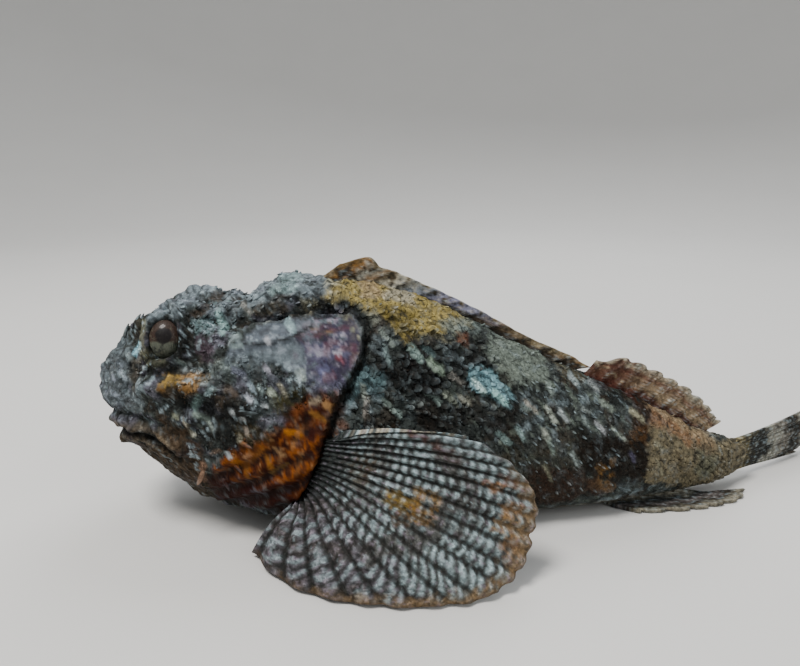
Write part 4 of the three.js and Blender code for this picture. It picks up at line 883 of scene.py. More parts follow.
def join_copies(name, template, shaped, tint, rows):
    """One piece from copies of a template, each with a small patch of its own on the UV map."""
    points, faces = template
    loops = (np.concatenate(faces) + (np.arange(len(rows)) * len(points))[:, None]).ravel()
    starts = np.cumsum([0] + [len(face) for face in faces] * len(rows))[:-1]
    mesh = bpy.data.meshes.new(name)
    mesh.vertices.add(len(points) * len(rows))
    mesh.vertices.foreach_set("co", (shaped.reshape(-1) * MM).astype(np.float32))
    mesh.loops.add(len(loops))
    mesh.loops.foreach_set("vertex_index", loops.astype(np.int32))
    mesh.polygons.add(len(starts))
    mesh.polygons.foreach_set("loop_start", starts.astype(np.int32))
    mesh.update(calc_edges=True)
    mesh.polygons.foreach_set("use_smooth", np.ones(len(starts), bool))
    layer = mesh.color_attributes.new("marking", "FLOAT_COLOR", "POINT")
    layer.data.foreach_set("color", tint.reshape(-1).astype(np.float32))

    root = UV_MARGIN + (1 - 2 * UV_MARGIN) * rows[:, :2] / (BODY_LENGTH, TURN)
    uv = (root[:, None] + (points[:, :2] - (0, 0.5)) * UV_PATCH).reshape(-1, 2)[loops]
    mesh.uv_layers.new(name="OFBake").data.foreach_set("uv", uv.reshape(-1).astype(np.float32))
    mesh.validate()
    add_piece(name, mesh, damp_skin("Scale and flap skin"), "mottled_skin")


# Head spines on each side: distance from the snout, angle above the side, length, width, lean.
HEAD_SPINES = (
    (14, 1.30, 6.5, 3.0, (0.9, 0, 0.2)),
    (21, 1.20, 6.0, 3.0, (1.0, 0, 0.2)),
    (33, 1.13, 7.0, 3.2, (1.2, 0, 0.2)),
    (44, 1.10, 7.5, 3.4, (1.3, 0, 0.1)),
    (55, 0.94, 6.0, 3.0, (1.6, 0, 0)),
    (63, 1.24, 6.5, 3.6, (1.4, 0, 0)),
    (73, 1.20, 6.0, 3.4, (2.2, 0, 0)),
    (38, 0.42, 6.0, 3.2, (1.4, 0, 0.1)),
    (50, 0.40, 6.5, 3.2, (1.6, 0, 0)),
    (60, 0.26, 9.0, 3.6, (1.9, 0, 0.1)),
    (59, 0.04, 7.0, 3.2, (1.4, 0, -0.4)),
    (56, -0.20, 6.0, 3.0, (1.1, 0, -0.8)),
    (52, -0.42, 5.5, 3.0, (0.9, 0, -1.1)),
)
# Groups of skin flaps on each side: how many, from and to along the body, low and high angle,
# length, width, tip brightness, lean backward and upward.
FLAP_GROUPS = (
    (36, 36, 62, -0.2, 0.95, 1.8, 1.7, 0.12, 2.6, -0.2),
    (20, 12, 34, 0.2, 0.75, 1.2, 1.3, 0.1, 2.2, -0.4),
    (5, 25, 44, 1.08, 1.2, 1.5, 1.8, 0.3, 3.0, 0.4),
    (36, 36, 88, 0.95, 1.28, 1.4, 2.0, 0.3, 3.6, -0.2),
    (1, 43.5, 44.5, -0.34, -0.3, 6.0, 2.8, 0.2, -0.3, -1.6),
    (150, 98, 146, 0.4, 1.05, 3.4, 3.2, 0.1, 2.3, -0.3),
    (60, 94, 132, 0.05, 0.45, 2.4, 2.2, 0.15, 2.4, -0.2),
    (80, 150, 190, 0.0, 1.0, 2.8, 1.1, 0.6, 3.2, -2.6),
    (40, 112, 190, -0.5, 0.1, 2.4, 1.2, 0.3, 2.8, -1.6),
    (50, 100, 184, 1.1, 1.5, 1.8, 1.7, 0.3, 2.8, 0.1),
    (40, 186, 244, -0.3, 1.4, 1.6, 1.3, 0.2, 2.8, -0.3),
)
# Bands of papillae: piece, how many, from and to along the body, low and high angle, size, seed.
PAPILLA_BANDS = (
    ("papillae_head", 1700, 6, 88, -0.85, 1.3, 1.3, 3),
    ("papillae_trunk", 900, 86, 190, -0.6, 1.2, 1.2, 5),
)


def on_side(rows, side):
    """Rows whose angles are measured up from the side, set on one side of the fish."""
    rows = rows.copy()
    if side == "left":
        rows[:, 1] = math.pi - rows[:, 1]
    rows[:, 1] = np.mod(rows[:, 1], TURN)
    return rows


def both_sides(rows):
    """Rows set on both sides, with the sideways lean mirrored on the right."""
    left, right = on_side(rows, "left"), on_side(rows, "right")
    right[:, 9] = -right[:, 9]
    return np.concatenate([left, right])


def bare_skin(s, up):
    """Whether a place on the left is gill flap, gill slit, eye, lip, fin root or belly."""
    points = section(s, math.pi - up)
    flap = outline_depth(points, GILL_FLAP) > -1.0
    slit = chain_distance(points, GILL_EDGE)[0] < 2.2
    eye = eye_offset(points)[0] < 9.4
    mouth = (chain_distance(points, MOUTH)[0] < 1.8) & (points[:, 0] < -48)
    root = outline_depth(points, FIN_ROOT) > 0
    return flap | slit | eye | mouth | root | (points[:, 2] < 1.0)


def scale_rows(look):
    """Overlapping scales in slanting rows over one side of trunk and tail stalk."""
    rng = random.Random(11)
    size = look.scale_length / MM
    pitch = size * 0.5
    rows = []
    for ring in range(int((SCALES_END - SCALES_START) / pitch)):
        s = SCALES_START + ring * pitch
        girth = float(HALF(s)) + 0.5 * float(TOP(s) - BOTTOM(s))
        turns = max(5, round(girth * 1.5 / (size * 0.8)))
        for k in range(turns):
            up = mix(-0.75, 1.52, (k + 0.5 * (ring % 2)) / turns)
            length = size * rng.uniform(0.85, 1.2) * min(1.0, 0.5 + girth / 90)
            rows.append((s + rng.uniform(-0.3, 0.3), up + rng.uniform(-0.012, 0.012), length,
                         length * rng.uniform(0.95, 1.1), rng.uniform(0.1, 0.25),
                         rng.uniform(0.2, 0.42)))
    rows = np.array(rows)
    return rows[~bare_skin(rows[:, 0], rows[:, 1])]


def papilla_rows(count, start, end, low, high, size, seed):
    """Small lumps and tassels that make the skin look crusted, scattered evenly over a band."""
    rng = np.random.default_rng(seed)
    k = np.arange(count)
    s = mix(start, end, (k + rng.uniform(0, 1, count)) / count)
    up = mix(low, high, np.mod(k * GOLDEN, 1.0)) + rng.uniform(-0.04, 0.04, count)
    grow = (size * rng.uniform(0.5, 1.3, count) * mix(0.5, 1.0, smooth(12, 50, s))
            * mix(0.4, 1.0, smooth(-0.5, 0.3, up)))
    rows = np.stack([
        s, up, 0.9 * grow, grow * rng.uniform(0.9, 1.5, count), grow * rng.uniform(0.8, 1.2, count),
        rng.uniform(-0.1, 0.2, count), 0.35 * grow, np.where(rng.uniform(size=count) < 0.08, 0.5, 0.0),
        rng.uniform(1.2, 3.0, count), rng.uniform(-0.6, 0.6, count), rng.uniform(-0.8, 0.1, count),
    ], axis=-1)
    rows = rows[~bare_skin(s, up) & (outline_depth(section(s, math.pi - up), THROAT) < 1)]
    patchy = noise_field(section(rows[:, 0], math.pi - rows[:, 1]), 9.0, 2, 31.0)
    return both_sides(rows[patchy > -0.02])


def spine_rows():
    """The spines of head and gill cover."""
    return both_sides(np.array([
        (s, up, length, 0.75 * width, 0.7 * width, -0.12, 2.2, 0.15, *lean)
        for s, up, length, width, lean in HEAD_SPINES
    ]))


def flap_rows(look):
    """Loose skin flaps and tassels, scattered within bands of the body."""
    rng = random.Random(29)
    rows = []
    for count, start, end, low, high, length, width, bright, backward, upward in FLAP_GROUPS:
        for k in range(count):
            s = mix(start, end, (k + rng.uniform(0.1, 0.9)) / count)
            up = mix(low, high, (k * GOLDEN) % 1) + rng.uniform(-0.06, 0.06)
            size = rng.uniform(0.55, 1.2) * look.flap_size
            rows.append((s, up, length * size + 0.9, width * rng.uniform(0.7, 1.25), 0.55,
                         rng.uniform(-0.2, 0.35), 1.0, bright * rng.uniform(0.2, 1.3),
                         backward * rng.uniform(0.6, 1.3), rng.uniform(-0.5, 0.3),
                         upward + rng.uniform(-0.35, 0.35)))
    rows = np.array(rows)
    return both_sides(rows[~bare_skin(rows[:, 0], rows[:, 1])])


def eyelids(sign, radius):
    """Skin round an eye: a thin shell over the ball with an upright oval opening, its edge darkened with
    painted shade.
    """
    upward = unit(np.array((0, 0, 1)) - LID_AXIS * LID_AXIS[2])
    backward = np.cross(LID_AXIS, upward)

    def place(u, v, side):
        cosine, sine = np.cos(TURN * u), np.sin(TURN * u)
        opening = 1 / np.hypot(cosine / 0.6, sine / np.where(sine > 0, 0.82, 0.98))
        polar = mix(opening, 1.8, v)
        outward = backward * cosine[:, None] + upward * sine[:, None]
        direction = LID_AXIS * np.cos(polar)[:, None] + outward * np.sin(polar)[:, None]
        brow = 1 + 0.7 * smooth(0.2, 1.0, sine)
        swell = np.sqrt(np.clip(v / 0.12, 0, 1)) * np.sqrt(np.clip((1 - v) / 0.3, 0, 1))
        flat = EYE_CENTRE + direction * radius
        rough = 1 + 0.5 * noise_field(flat, 2.6, 2) + 0.5 * noise_field(flat, 5.0, 1, 3.0)
        height = 0.1 + (1.15 * brow * swell * rough if side > 0 else 0 * v)
        points = EYE_CENTRE + direction * (radius + height)[:, None]
        points[:, 1] *= sign
        # The lid's edge at the opening gets painted shade
        return points, skin_marking(points, 0.6 * smooth(0.16, 0.02, v), np.ones(len(v)))
    return shaped_grid(96, 28, place, copies=2)


# Fins

PECTORAL_RAYS = 19
PECTORAL_ROOT = smooth_path([(0, 4, -35, 42), (0.5, 0, -34.5, 30), (1, -6, -30, 17)])
PECTORAL_TIP = smooth_path([
    (0, 49, -45, 45.5), (0.12, 63, -48, 37.5), (0.25, 71, -50, 26), (0.38, 69, -54, 14),
    (0.5, 62, -61, 4.5), (0.62, 46, -67.5, 0.9), (0.72, 28, -69, 0.9), (0.82, 9, -66, 0.9),
    (0.91, -9, -57, 0.9), (1, -23, -40, 1.3),
])
PELVIC_ROOT = smooth_path([(0, 13, -20, 4.5), (1, -1, -20, 4.5)])
PELVIC_TIP = smooth_path([
    (0, 56, -24, 1.3), (0.3, 60, -33, 1.2), (0.6, 52, -43, 1.2), (0.85, 38, -48, 1.2), (1, 25, -46, 1.3),
])
ANAL_ROOT = smooth_path([(0, 101, -2.5, 3.7), (1, 134, 0.5, 3.7)])
ANAL_TIP = smooth_path([
    (0, 119, -12, 1.2), (0.3, 138, -10, 1.2), (0.6, 154, -5.5, 1.2), (0.85, 164, 0.5, 1.2),
    (1, 167, 6, 1.2),
])
SPINY_HEIGHT = smooth_table((0, 0.06, 0.14, 0.5, 0.9, 1), (4, 7, 5.4, 4.2, 4.2, 3.2))
SOFT_HEIGHT = smooth_table((0, 0.14, 0.35, 0.68, 1), (7, 13.5, 14, 13, 6.5))

# Bands of colour from a fin's root to its edge: share of the way, colour
PELVIC_BANDS = (
    (0, BROWN), (0.25, RUST), (0.4, CREAM), (0.55, BROWN), (0.75, RUST), (0.88, CREAM), (1, TAN),
)
ANAL_BANDS = (
    (0, BROWN), (0.22, CREAM), (0.42, DARK), (0.6, (0.19, 0.16, 0.15)), (0.78, BROWN), (1, CREAM),
)
TAIL_BANDS = (
    (0, TAN), (0.12, (0.3, 0.24, 0.11)), (0.3, (0.03, 0.028, 0.024)), (0.4, (0.03, 0.028, 0.024)),
    (0.5, (0.42, 0.41, 0.34)), (0.64, (0.27, 0.24, 0.2)), (0.76, (0.03, 0.026, 0.022)),
    (0.86, (0.06, 0.045, 0.03)), (0.94, (0.36, 0.34, 0.28)), (1, CREAM),
)
SPINY_BANDS = ((0, DARK), (0.4, BROWN), (0.7, (0.07, 0.045, 0.025)), (1, TAN))
SOFT_BANDS = (
    (0, (0.03, 0.014, 0.01)), (0.25, (0.08, 0.03, 0.018)), (0.4, (0.24, 0.17, 0.1)),
    (0.58, (0.32, 0.23, 0.14)), (0.7, (0.17, 0.09, 0.055)), (0.8, (0.3, 0.22, 0.14)),
    (1, (0.34, 0.3, 0.22)),
)
# Colour along the edge of the spiny fin, from front to back
SPINY_EDGE = (
    (0, (0.15, 0.1, 0.04)), (0.08, (0.17, 0.08, 0.018)), (0.13, (0.3, 0.3, 0.26)),
    (0.17, (0.1, 0.055, 0.02)), (0.25, (0.33, 0.31, 0.24)), (0.34, (0.15, 0.17, 0.19)),
    (0.45, (0.17, 0.17, 0.25)), (0.58, (0.17, 0.175, 0.23)), (0.66, (0.08, 0.05, 0.028)), (0.85, TAN),
    (1, RUST),
)
# Spots of the pectoral fin: place across and along the rays, width, length, colour, strength
PECTORAL_SPOTS = (
    (0.44, 0.42, 0.05, 0.06, (0.2, 0.12, 0.01), 0.8),
    (0.38, 0.52, 0.04, 0.05, (0.24, 0.13, 0.025), 0.8),
    (0.46, 0.53, 0.04, 0.05, (0.15, 0.075, 0.01), 0.8),
    (0.52, 0.47, 0.04, 0.05, (0.06, 0.03, 0.01), 0.8),
    (0.31, 0.87, 0.03, 0.06, (0.24, 0.12, 0.035), 0.75),
    (0.36, 0.9, 0.03, 0.07, (0.25, 0.15, 0.06), 0.75),
    (0.42, 0.94, 0.03, 0.05, (0.22, 0.11, 0.04), 0.7),
    (0.24, 0.8, 0.025, 0.05, (0.24, 0.105, 0.03), 0.75),
    (0.2, 0.9, 0.03, 0.05, (0.16, 0.07, 0.03), 0.6),
    (0.03, 0.62, 0.06, 0.05, (0.055, 0.018, 0.01), 0.8),
    (0.1, 0.65, 0.06, 0.06, (0.05, 0.018, 0.012), 0.6),
    (0.1, 0.2, 0.06, 0.07, DARK, 0.8),
    (0.33, 0.2, 0.1, 0.08, (0.055, 0.032, 0.01), 0.6),
)


def ray_profile(f, t, rays, split, width):
    """1 on a ray and 0 between rays; rays fork beyond the middle where split is above 0."""
    from_ray = np.abs(f * (rays - 1) - np.round(f * (rays - 1)))
    apart = split * smooth(0.45, 1.0, t)
    return bell(from_ray - apart, mix(width, width * 0.62, smooth(0.5, 0.8, t) * (split > 0)))


def add_fin(name, node, slot, rays, rows, point, colour, thick, reach,
            split=0.2, width=0.24, raised=0.75, scallop=0.08, flip=False):
    """Add a fin as one closed sheet with raised, jointed rays and a scalloped edge.

    thick is half its thickness at the root, and reach how soon it thins out to the membrane.
    """
    look = bpy.context.scene.scorpionfish_fins
    raised *= look.ray_rise / MM
    gaps = rays - 1

    def middle(f, t):
        notch = (0.5 - 0.5 * np.cos(TURN * f * gaps)) ** 2
        uneven = noise_field(np.stack([f * rays * 0.8, 0 * f, 0 * f], axis=-1), 1.0, 3)
        return point(f, t * (1 - scallop * notch * smooth(0.55, 1.0, t) - 0.016 * uneven * t))

    def place(f, t, side):
        step = 0.002
        centre = middle(f, t)
        inner = np.clip(f, step, 1 - step)
        across = point(inner + step, t) - point(inner - step, t)
        out = point(inner, np.clip(t + step, 0, 1)) - point(inner, np.clip(t - step, 0, 1))
        profile = ray_profile(f, t, rays, split, width)
        joints = 1 + 0.1 * np.cos(TURN * t * RAY_JOINTS + 2 * np.round(f * gaps))
        rim = np.minimum(np.minimum(f, 1 - f) * gaps / 0.2, (1 - t) / 0.022)
        rim = np.sqrt(np.clip(rim, 0, 1)) * (t > 0)
        half = mix(thick, look.membrane / MM, np.clip(t * reach, 0, 1)) + raised * profile * joints
        wave = raised * 0.7 * (profile - 0.3) * smooth(0.0, 0.25, t)
        wrinkle = 0.1 * noise_field(centre, 1.7, 2)
        points = centre + unit(np.cross(across, out)) * (side * (half + wrinkle) * rim + wave)[:, None]
        if flip:
            points[:, 1] *= -1
        points[:, 2] = np.maximum(points[:, 2], FIN_FLOOR)
        tint = colour(f, t, centre, profile)
        return points, np.concatenate([tint, np.ones((len(tint), 1))], axis=1)
    mesh = smooth_mesh(name, shaped_grid(gaps * look.per_ray, rows, place, copies=2))
    add_piece(name, mesh, damp_skin("Damp fin"), slot, node)


def pectoral_point(f, t):
    """Middle of the fan's sheet at ray place f and share t of the way out."""
    root, tip = PECTORAL_ROOT(f), PECTORAL_TIP(f)
    bulge = np.array([-1.8, -8.1, 6.3]) * np.sin(math.pi * np.clip(t, 0, 1))[:, None]
    return root + (tip - root) * t[:, None] + bulge * (1 - 0.45 * f)[:, None]


def floor_fan(root, tip, height, reach):
    """Sheet of a fin that leaves the body at height and lies on the floor."""
    def point(f, t):
        flat = root(f) + (tip(f) - root(f)) * t[:, None]
        flat[:, 2] = mix(height, LYING_HEIGHT, np.clip(t * reach, 0, 1))
        return flat
    return point


def back_fan(start, end, height, first_lean, last_lean):
    """Sheet of a fin that stands on the midline of the back, its rays leaning toward the tail."""
    sunk = 3

    def point(f, t):
        s = mix(start, end, f)
        x, y, along_x, along_y = midline(s)
        rise = (height(f) + sunk) * t
        back = mix(first_lean, last_lean, f) * rise
        slope = (TOP(s + 4) - TOP(s)) / 4
        height_here = TOP(s) - sunk + rise + back * slope
        return np.stack([x + along_x * back, y + along_y * back, height_here], axis=-1)
    return point


def tail_fan(f, t):
    """Sheet of the tail fin, partly folded, with shallow pleats."""
    x, y, along_x, along_y = midline(np.array(BODY_LENGTH))
    back = -3 + 61 * t * (1 - 0.14 * (2 * f - 1) ** 2)
    pleat = 0.9 * np.sin(3 * TURN * f) * t + 0.001 * back * np.abs(back)
    height = mix(mix(4.4, 17.5, f), mix(1.3, 22, f), t)
    return np.stack([x + along_x * back - along_y * pleat, y + along_y * back + along_x * pleat,
                     height], axis=-1)


def banded(t, stops):
    """Colour along a fin from rows of place and colour."""
    places, colours = zip(*stops)
    return np.stack([np.interp(t, places, channel) for channel in zip(*colours)], axis=-1)


def spotted_fin(stops, groove=0.6):
    """Colours of a banded fin: bands with ragged edges, beaded rays and dark grooves."""
    def colour(f, t, points, profile):
        warp = 0.12 * noise_field(points, 6.0, 2) + 0.07 * noise_field(points, 2.4, 2, 3.0)
        beads = np.cos(TURN * t * RAY_BEADS + 3.0 * noise_field(points, 4.0, 1, 8.0))
        fine = noise_field(points, 1.6, 2, 5.0)
        return painted(
            banded(np.clip(t + warp, 0, 1), stops),
            (PALE, 0.45 * profile * smooth(0.1, 0.7, beads)),
            (DARK, 0.6 * profile * smooth(0.2, 0.8, -beads)),
            (DARK, groove * (1 - profile) * smooth(0.98, 0.8, t)),
            (DARK, 0.5 * smooth(0.15, 0.45, fine)),
            (FLECK, 0.25 * smooth(0.3, 0.55, -fine)),
        )
    return colour


def spiny_colour(f, t, points, profile):
    """Orange first tab, cream and lilac flecks behind it, then a tan edge over a dark line."""
    medium = noise_field(points, 3.2, 2, 4.0)
    fine = noise_field(points, 1.5, 2, 8.0)
    behind = smooth(0.2, 0.6, f)
    amount = (0.9 * smooth(mix(0.1, 0.55, behind), mix(0.3, 0.75, behind), t)
              * smooth(-0.35, 0.0, medium))
    return painted(
        spotted_fin(SPINY_BANDS, 0.4)(f, t, points, profile),
        (banded(np.clip(f + 0.05 * medium, 0, 1), SPINY_EDGE), amount),
        (CREAM, 0.6 * amount * smooth(0.2, 0.45, fine)),
        (DARK, 0.6 * smooth(0.15, 0.4, -fine)),
    )


def soft_colour(f, t, points, profile):
    """Tan and pink behind, dark red at the front, with pale dots on the edge."""
    medium = noise_field(points, 3.0, 2, 6.0)
    front = smooth(0.5, 0.22, f + 0.12 * medium + 0.1 * t)
    return painted(
        spotted_fin(SOFT_BANDS, 0.2)(f, t, points, profile),
        ((0.05, 0.014, 0.009), 0.85 * front * smooth(-0.5, -0.05, medium)),
        (CREAM, 0.7 * front * smooth(0.75, 0.95, t) * smooth(0.05, 0.3, medium)),
    )


def pectoral_colour(f, t, points, profile):
    """Pale beaded rays, dark grooves, brown clouds, golden spots and a tan margin."""
    ray = np.round(f * (PECTORAL_RAYS - 1))
    length = np.linalg.norm(PECTORAL_TIP(f) - PECTORAL_ROOT(f), axis=-1)
    broad = noise_field(points, 9.0, 2)
    medium = noise_field(points, 3.4, 2, 4.0)
    fine = noise_field(points, 1.4, 2, 9.0)
    low = smooth(0.5, 0.85, f)
    cloud = np.cos(TURN * (t * 2.6 + 0.3 * broad + 0.35 * f) + 1.2)
    period = mix(3.0, 4.4, low)
    beads = np.cos(TURN * t * length / period + 1.3 * np.sin(ray * 2.3) + 2.6 * broad) + 0.9 * medium
    pale = smooth(0.25, 0.75, -beads) * smooth(1.0, -0.1, cloud + 0.5 * broad) * smooth(0.08, 0.25, t)
    bright = smooth(0.36, 0.5, medium + 0.4 * broad) * profile
    base = painted(
        (0.13, 0.155, 0.155),
        ((0.1, 0.085, 0.105), 0.7 * smooth(0.3, 0.8, low + 0.4 * broad)),
        ((0.055, 0.04, 0.032), 0.6 * smooth(0.1, 0.9, cloud + 0.9 * medium)),
        ((0.022, 0.019, 0.018), 0.75 * smooth(0.1, 0.8, beads)),
        ((0.32, 0.41, 0.43), 0.9 * pale * (1 - 0.45 * low)),
        ((0.36, 0.45, 0.48), 0.6 * bright * (1 - 0.5 * low)),
        ((0.011, 0.0105, 0.009), 0.9 * smooth(0.42, 0.08, profile)),
    )
    for place_f, place_t, wide, deep, tint, strength in PECTORAL_SPOTS:
        distance = np.hypot((f - place_f) / wide, (t - place_t) / deep) + 0.9 * medium + 0.5 * fine
        base = painted(base, (tint, strength * smooth(1.4, 0.6, distance) * mix(0.45, 1.0, profile)))
    margin = smooth(0.9, 0.99, t + 0.05 * medium) * smooth(0.08, 0.22, f) * smooth(1.1, 0.7, f)
    top_edge = smooth(0.03, 0.012, f) * smooth(0.12, 0.3, t)
    return painted(
        base,
        ((0.2, 0.13, 0.065), 0.7 * margin),
        ((0.3, 0.27, 0.21), 0.85 * top_edge * smooth(-0.3, 0.1, medium + 0.3 * beads)),
        (DARK, 0.9 * smooth(0.26, 0.06, t)),
        (DARK, 0.5 * smooth(0.1, 0.4, fine + 0.15 * low)),
        ((0.2, 0.17, 0.21), 0.5 * smooth(0.2, 0.5, -fine) * profile),
    )


# Finishes

def feed(socket, value):
    """Link or set one socket."""
    if isinstance(value, Signal):
        socket.id_data.links.new(value.socket, socket)
    else:
        socket.default_value = value


class Signal:
    """A shader socket that can be used in sums like a number."""

    def __init__(self, socket):
        self.socket = socket

    def combine(self, operation, *values):
        """A Math node with this operation on the values."""
        made = self.socket.id_data.nodes.new("ShaderNodeMath")
        made.operation = operation
        for slot, value in zip(made.inputs, values):
            feed(slot, value)
        return Signal(made.outputs[0])

    def __abs__(self):
        return self.combine("ABSOLUTE", self)

    def __add__(self, other):
        return self.combine("ADD", self, other)

    def __radd__(self, other):
        return self.combine("ADD", other, self)

    def __sub__(self, other):
        return self.combine("SUBTRACT", self, other)

    def __rsub__(self, other):
        return self.combine("SUBTRACT", other, self)

    def __mul__(self, other):
        return self.combine("MULTIPLY", self, other)

    def __rmul__(self, other):
        return self.combine("MULTIPLY", other, self)


class Finish:
    """One material under construction."""

    def __init__(self, name):
        self.material = bpy.data.materials.new(name)
        self.material.use_nodes = True
        self.place = self.node("ShaderNodeTexCoord", output="Object")

    def node(self, kind, settings=None, values=None, output=0):
        """A node of this kind; settings are its own choices and values go to its sockets."""
        made = self.material.node_tree.nodes.new(kind)
        for key, value in (settings or {}).items():
            setattr(made, key, value)
        for key, value in (values or {}).items():
            feed(made.inputs[key], value)
        return Signal(made.outputs[output])

    def noise(self, scale, detail=3.0, roughness=0.6, place=None):
        """Smooth noise from 0 to 1."""
        return self.node("ShaderNodeTexNoise", values={
            "Vector": place or self.place, "Scale": scale, "Detail": detail, "Roughness": roughness})

    def spread(self, value, low, high):
        """A value's range stretched from low..high to 0..1."""
        return self.node("ShaderNodeMapRange", {"interpolation_type": "SMOOTHSTEP"}, {
            "Value": value, "From Min": low, "From Max": high})

    def tint(self, amount, first, second, blend="MIX"):
        """One colour moved toward another."""
        return self.node("ShaderNodeMix", {"data_type": "RGBA", "blend_type": blend}, {
            0: amount, 6: first, 7: second}, output=2)

    def layered(self, colour, *layers):
        """A colour under others, each given with how much of it shows."""
        for amount, other in layers:
            colour = self.tint(amount, colour, other)
        return colour

    def bump(self, height, strength, distance):
        """A bumped surface direction."""
        return self.node("ShaderNodeBump", values={
            "Height": height, "Strength": strength, "Distance": distance})

    def done(self, values):
        """The material, with these values or links on its surface shader."""
        for key, value in values.items():
            feed(self.material.node_tree.nodes["Principled BSDF"].inputs[key], value)
        return self.material


# Strength of the crust of flecks, grains per metre, depth of the grain in metres, roughness
DAMP_SKINS = {
    "Mottled damp skin": (0.85, 430.0, 0.0008, 0.7),
    "Damp fin": (0.55, 620.0, 0.0004, 0.66),
    "Scale and flap skin": (0.6, 620.0, 0.0003, 0.66),
}


def damp_skin(name):
    """Damp fish skin, made once: painted markings with a crust of fine flecks, painted shade in its
    pores, and a slime coat.
    """
    if name in bpy.data.materials:
        return bpy.data.materials[name]
    fleck, coarse, depth, roughness = DAMP_SKINS[name]
    finish = Finish(name)
    marking, crust = (
        finish.node("ShaderNodeAttribute", {"attribute_name": "marking"}, output=output)
        for output in ("Color", "Alpha")
    )
    crust = crust * fleck
    lumps = finish.noise(coarse, 4.0, 0.62)
    grain = finish.noise(coarse * 2.3)
    specks = finish.noise(coarse * 1.1)
    pores = finish.node("ShaderNodeTexVoronoi", values={"Vector": finish.place, "Scale": coarse * 1.6})
    dark_fleck_and_pore_shade = finish.tint(1.0, marking, (0.22, 0.22, 0.22, 1), "MULTIPLY")
    light = finish.tint(0.035, finish.tint(1.0, marking, (2.4, 2.4, 2.35, 1), "MULTIPLY"),
                        (0.5, 0.55, 0.52, 1))
    dark = finish.spread(lumps, 0.47, 0.62) * crust * 0.8
    height = (lumps * 0.7 + grain * 0.25 - pores * 0.5) * (0.35 + 0.65 * crust)
    return finish.done({
        "Base Color": finish.layered(
            marking,
            # Dark crust flecks on the raised lumps
            (dark, dark_fleck_and_pore_shade),
            (finish.spread(specks, 0.54, 0.68) * crust * 0.7, light),
            (finish.spread(grain, 0.58, 0.7) * crust * 0.25, (0.1, 0.06, 0.04, 1)),
            # Painted shade in the sunken pores
            (finish.spread(pores, 0.45, 0.75) * crust * 0.4, dark_fleck_and_pore_shade),
        ),
        "Roughness": roughness + 0.35 * (grain - 0.5) + 0.1 * dark,
        "Normal": finish.bump(height, 1.0, depth),
        "Coat Weight": 0.015,
        "Coat Roughness": 0.3,
        "Specular IOR Level": 0.07,
    })


def wet_eye(look):
    """Glossy eye: dark pupil, mottled iris with fine streaks, an upper part browned partly as painted
    shade under the brow, and a dark rim.
    """
    finish = Finish("Wet eye")
    split = finish.node("ShaderNodeSeparateXYZ", values={"Vector": finish.place})
    x, y, z = map(Signal, split.socket.node.outputs)
    off_x, off_y, off_z = (
        (part - middle) * (1 / look.radius)
        for part, middle in zip((x, abs(y), z), Vector(EYE_CENTRE) * MM)
    )
    look_x, look_y, look_z = Vector(PUPIL_AXIS).normalized()
    facing = off_x * look_x + off_y * look_y + off_z * look_z
    stretched = finish.node("ShaderNodeMapping", values={
        "Vector": finish.place, "Scale": (1.0, 1.0, 0.3)})
    streaks = finish.noise(1900.0, place=stretched)
    cloud = finish.noise(420.0, 4.0, 0.65)
    brown = finish.tint(finish.spread(streaks, 0.45, 0.65), (0.026, 0.016, 0.012, 1),
                        (0.042, 0.028, 0.022, 1))
    return finish.done({
        "Base Color": finish.layered(
            (*look.iris_colour, 1),
            (finish.spread(cloud, 0.42, 0.6), (0.02, 0.023, 0.018, 1)),
            (finish.spread(streaks, 0.5, 0.66) * 0.7, (0.1, 0.105, 0.075, 1)),
            # Upper part brown: iris colour and painted shade under the brow
            (finish.spread(off_z + 0.35 * (cloud - 0.5), 0.0, 0.16), brown),
            (finish.spread(facing, 0.62, 0.4) * 0.8, (0.012, 0.011, 0.009, 1)),
            (finish.spread(finish.noise(650.0), 0.55, 0.68) * 0.6, (0.085, 0.08, 0.06, 1)),
            (finish.spread(facing + 0.05 * (cloud - 0.5), 0.93, 0.96) * 0.85, (0.006, 0.006, 0.007, 1)),
        ),
        "Roughness": 0.45,
        "Specular IOR Level": 0.1,
        "Coat Weight": 0.14,
        "Coat Roughness": 0.08,
    })


def plaster_floor(look):
    """Plain pale floor with the faintest grain."""
    finish = Finish("Pale plaster")
    shade = finish.spread(finish.noise(9.0, 3.0, 0.5), 0.3, 0.7) * 0.3
    duller = (0.95 * part for part in look.floor_colour)
    return finish.done({
        "Base Color": finish.tint(shade, (*look.floor_colour, 1), (*duller, 1)),
        "Roughness": 0.85,
        "Normal": finish.bump(finish.noise(260.0, 4.0), 0.08, 0.0005),
    })


# Stage

# Lamp, place, size, share of the key light's power, colour
LAMPS = (
    ("key", (-0.35, -0.35, 1.1), 0.35, 1.0, (1.0, 0.98, 0.95)),
    ("fill", (0.8, -0.6, 0.6), 0.9, 0.2, (0.93, 0.97, 1.0)),
    ("back", (0.3, 0.7, 0.9), 0.8, 0.45, (0.96, 0.98, 1.0)),
)
LAMP_AIM = Vector((0.05, 0, 0.03))
ROOM_COLOUR, ROOM_LIGHT = (0.86, 0.89, 0.92, 1), 0.5
CAMERA_PLACE = (0.027, -0.252, 0.136)
CAMERA_TILT = math.radians(75)


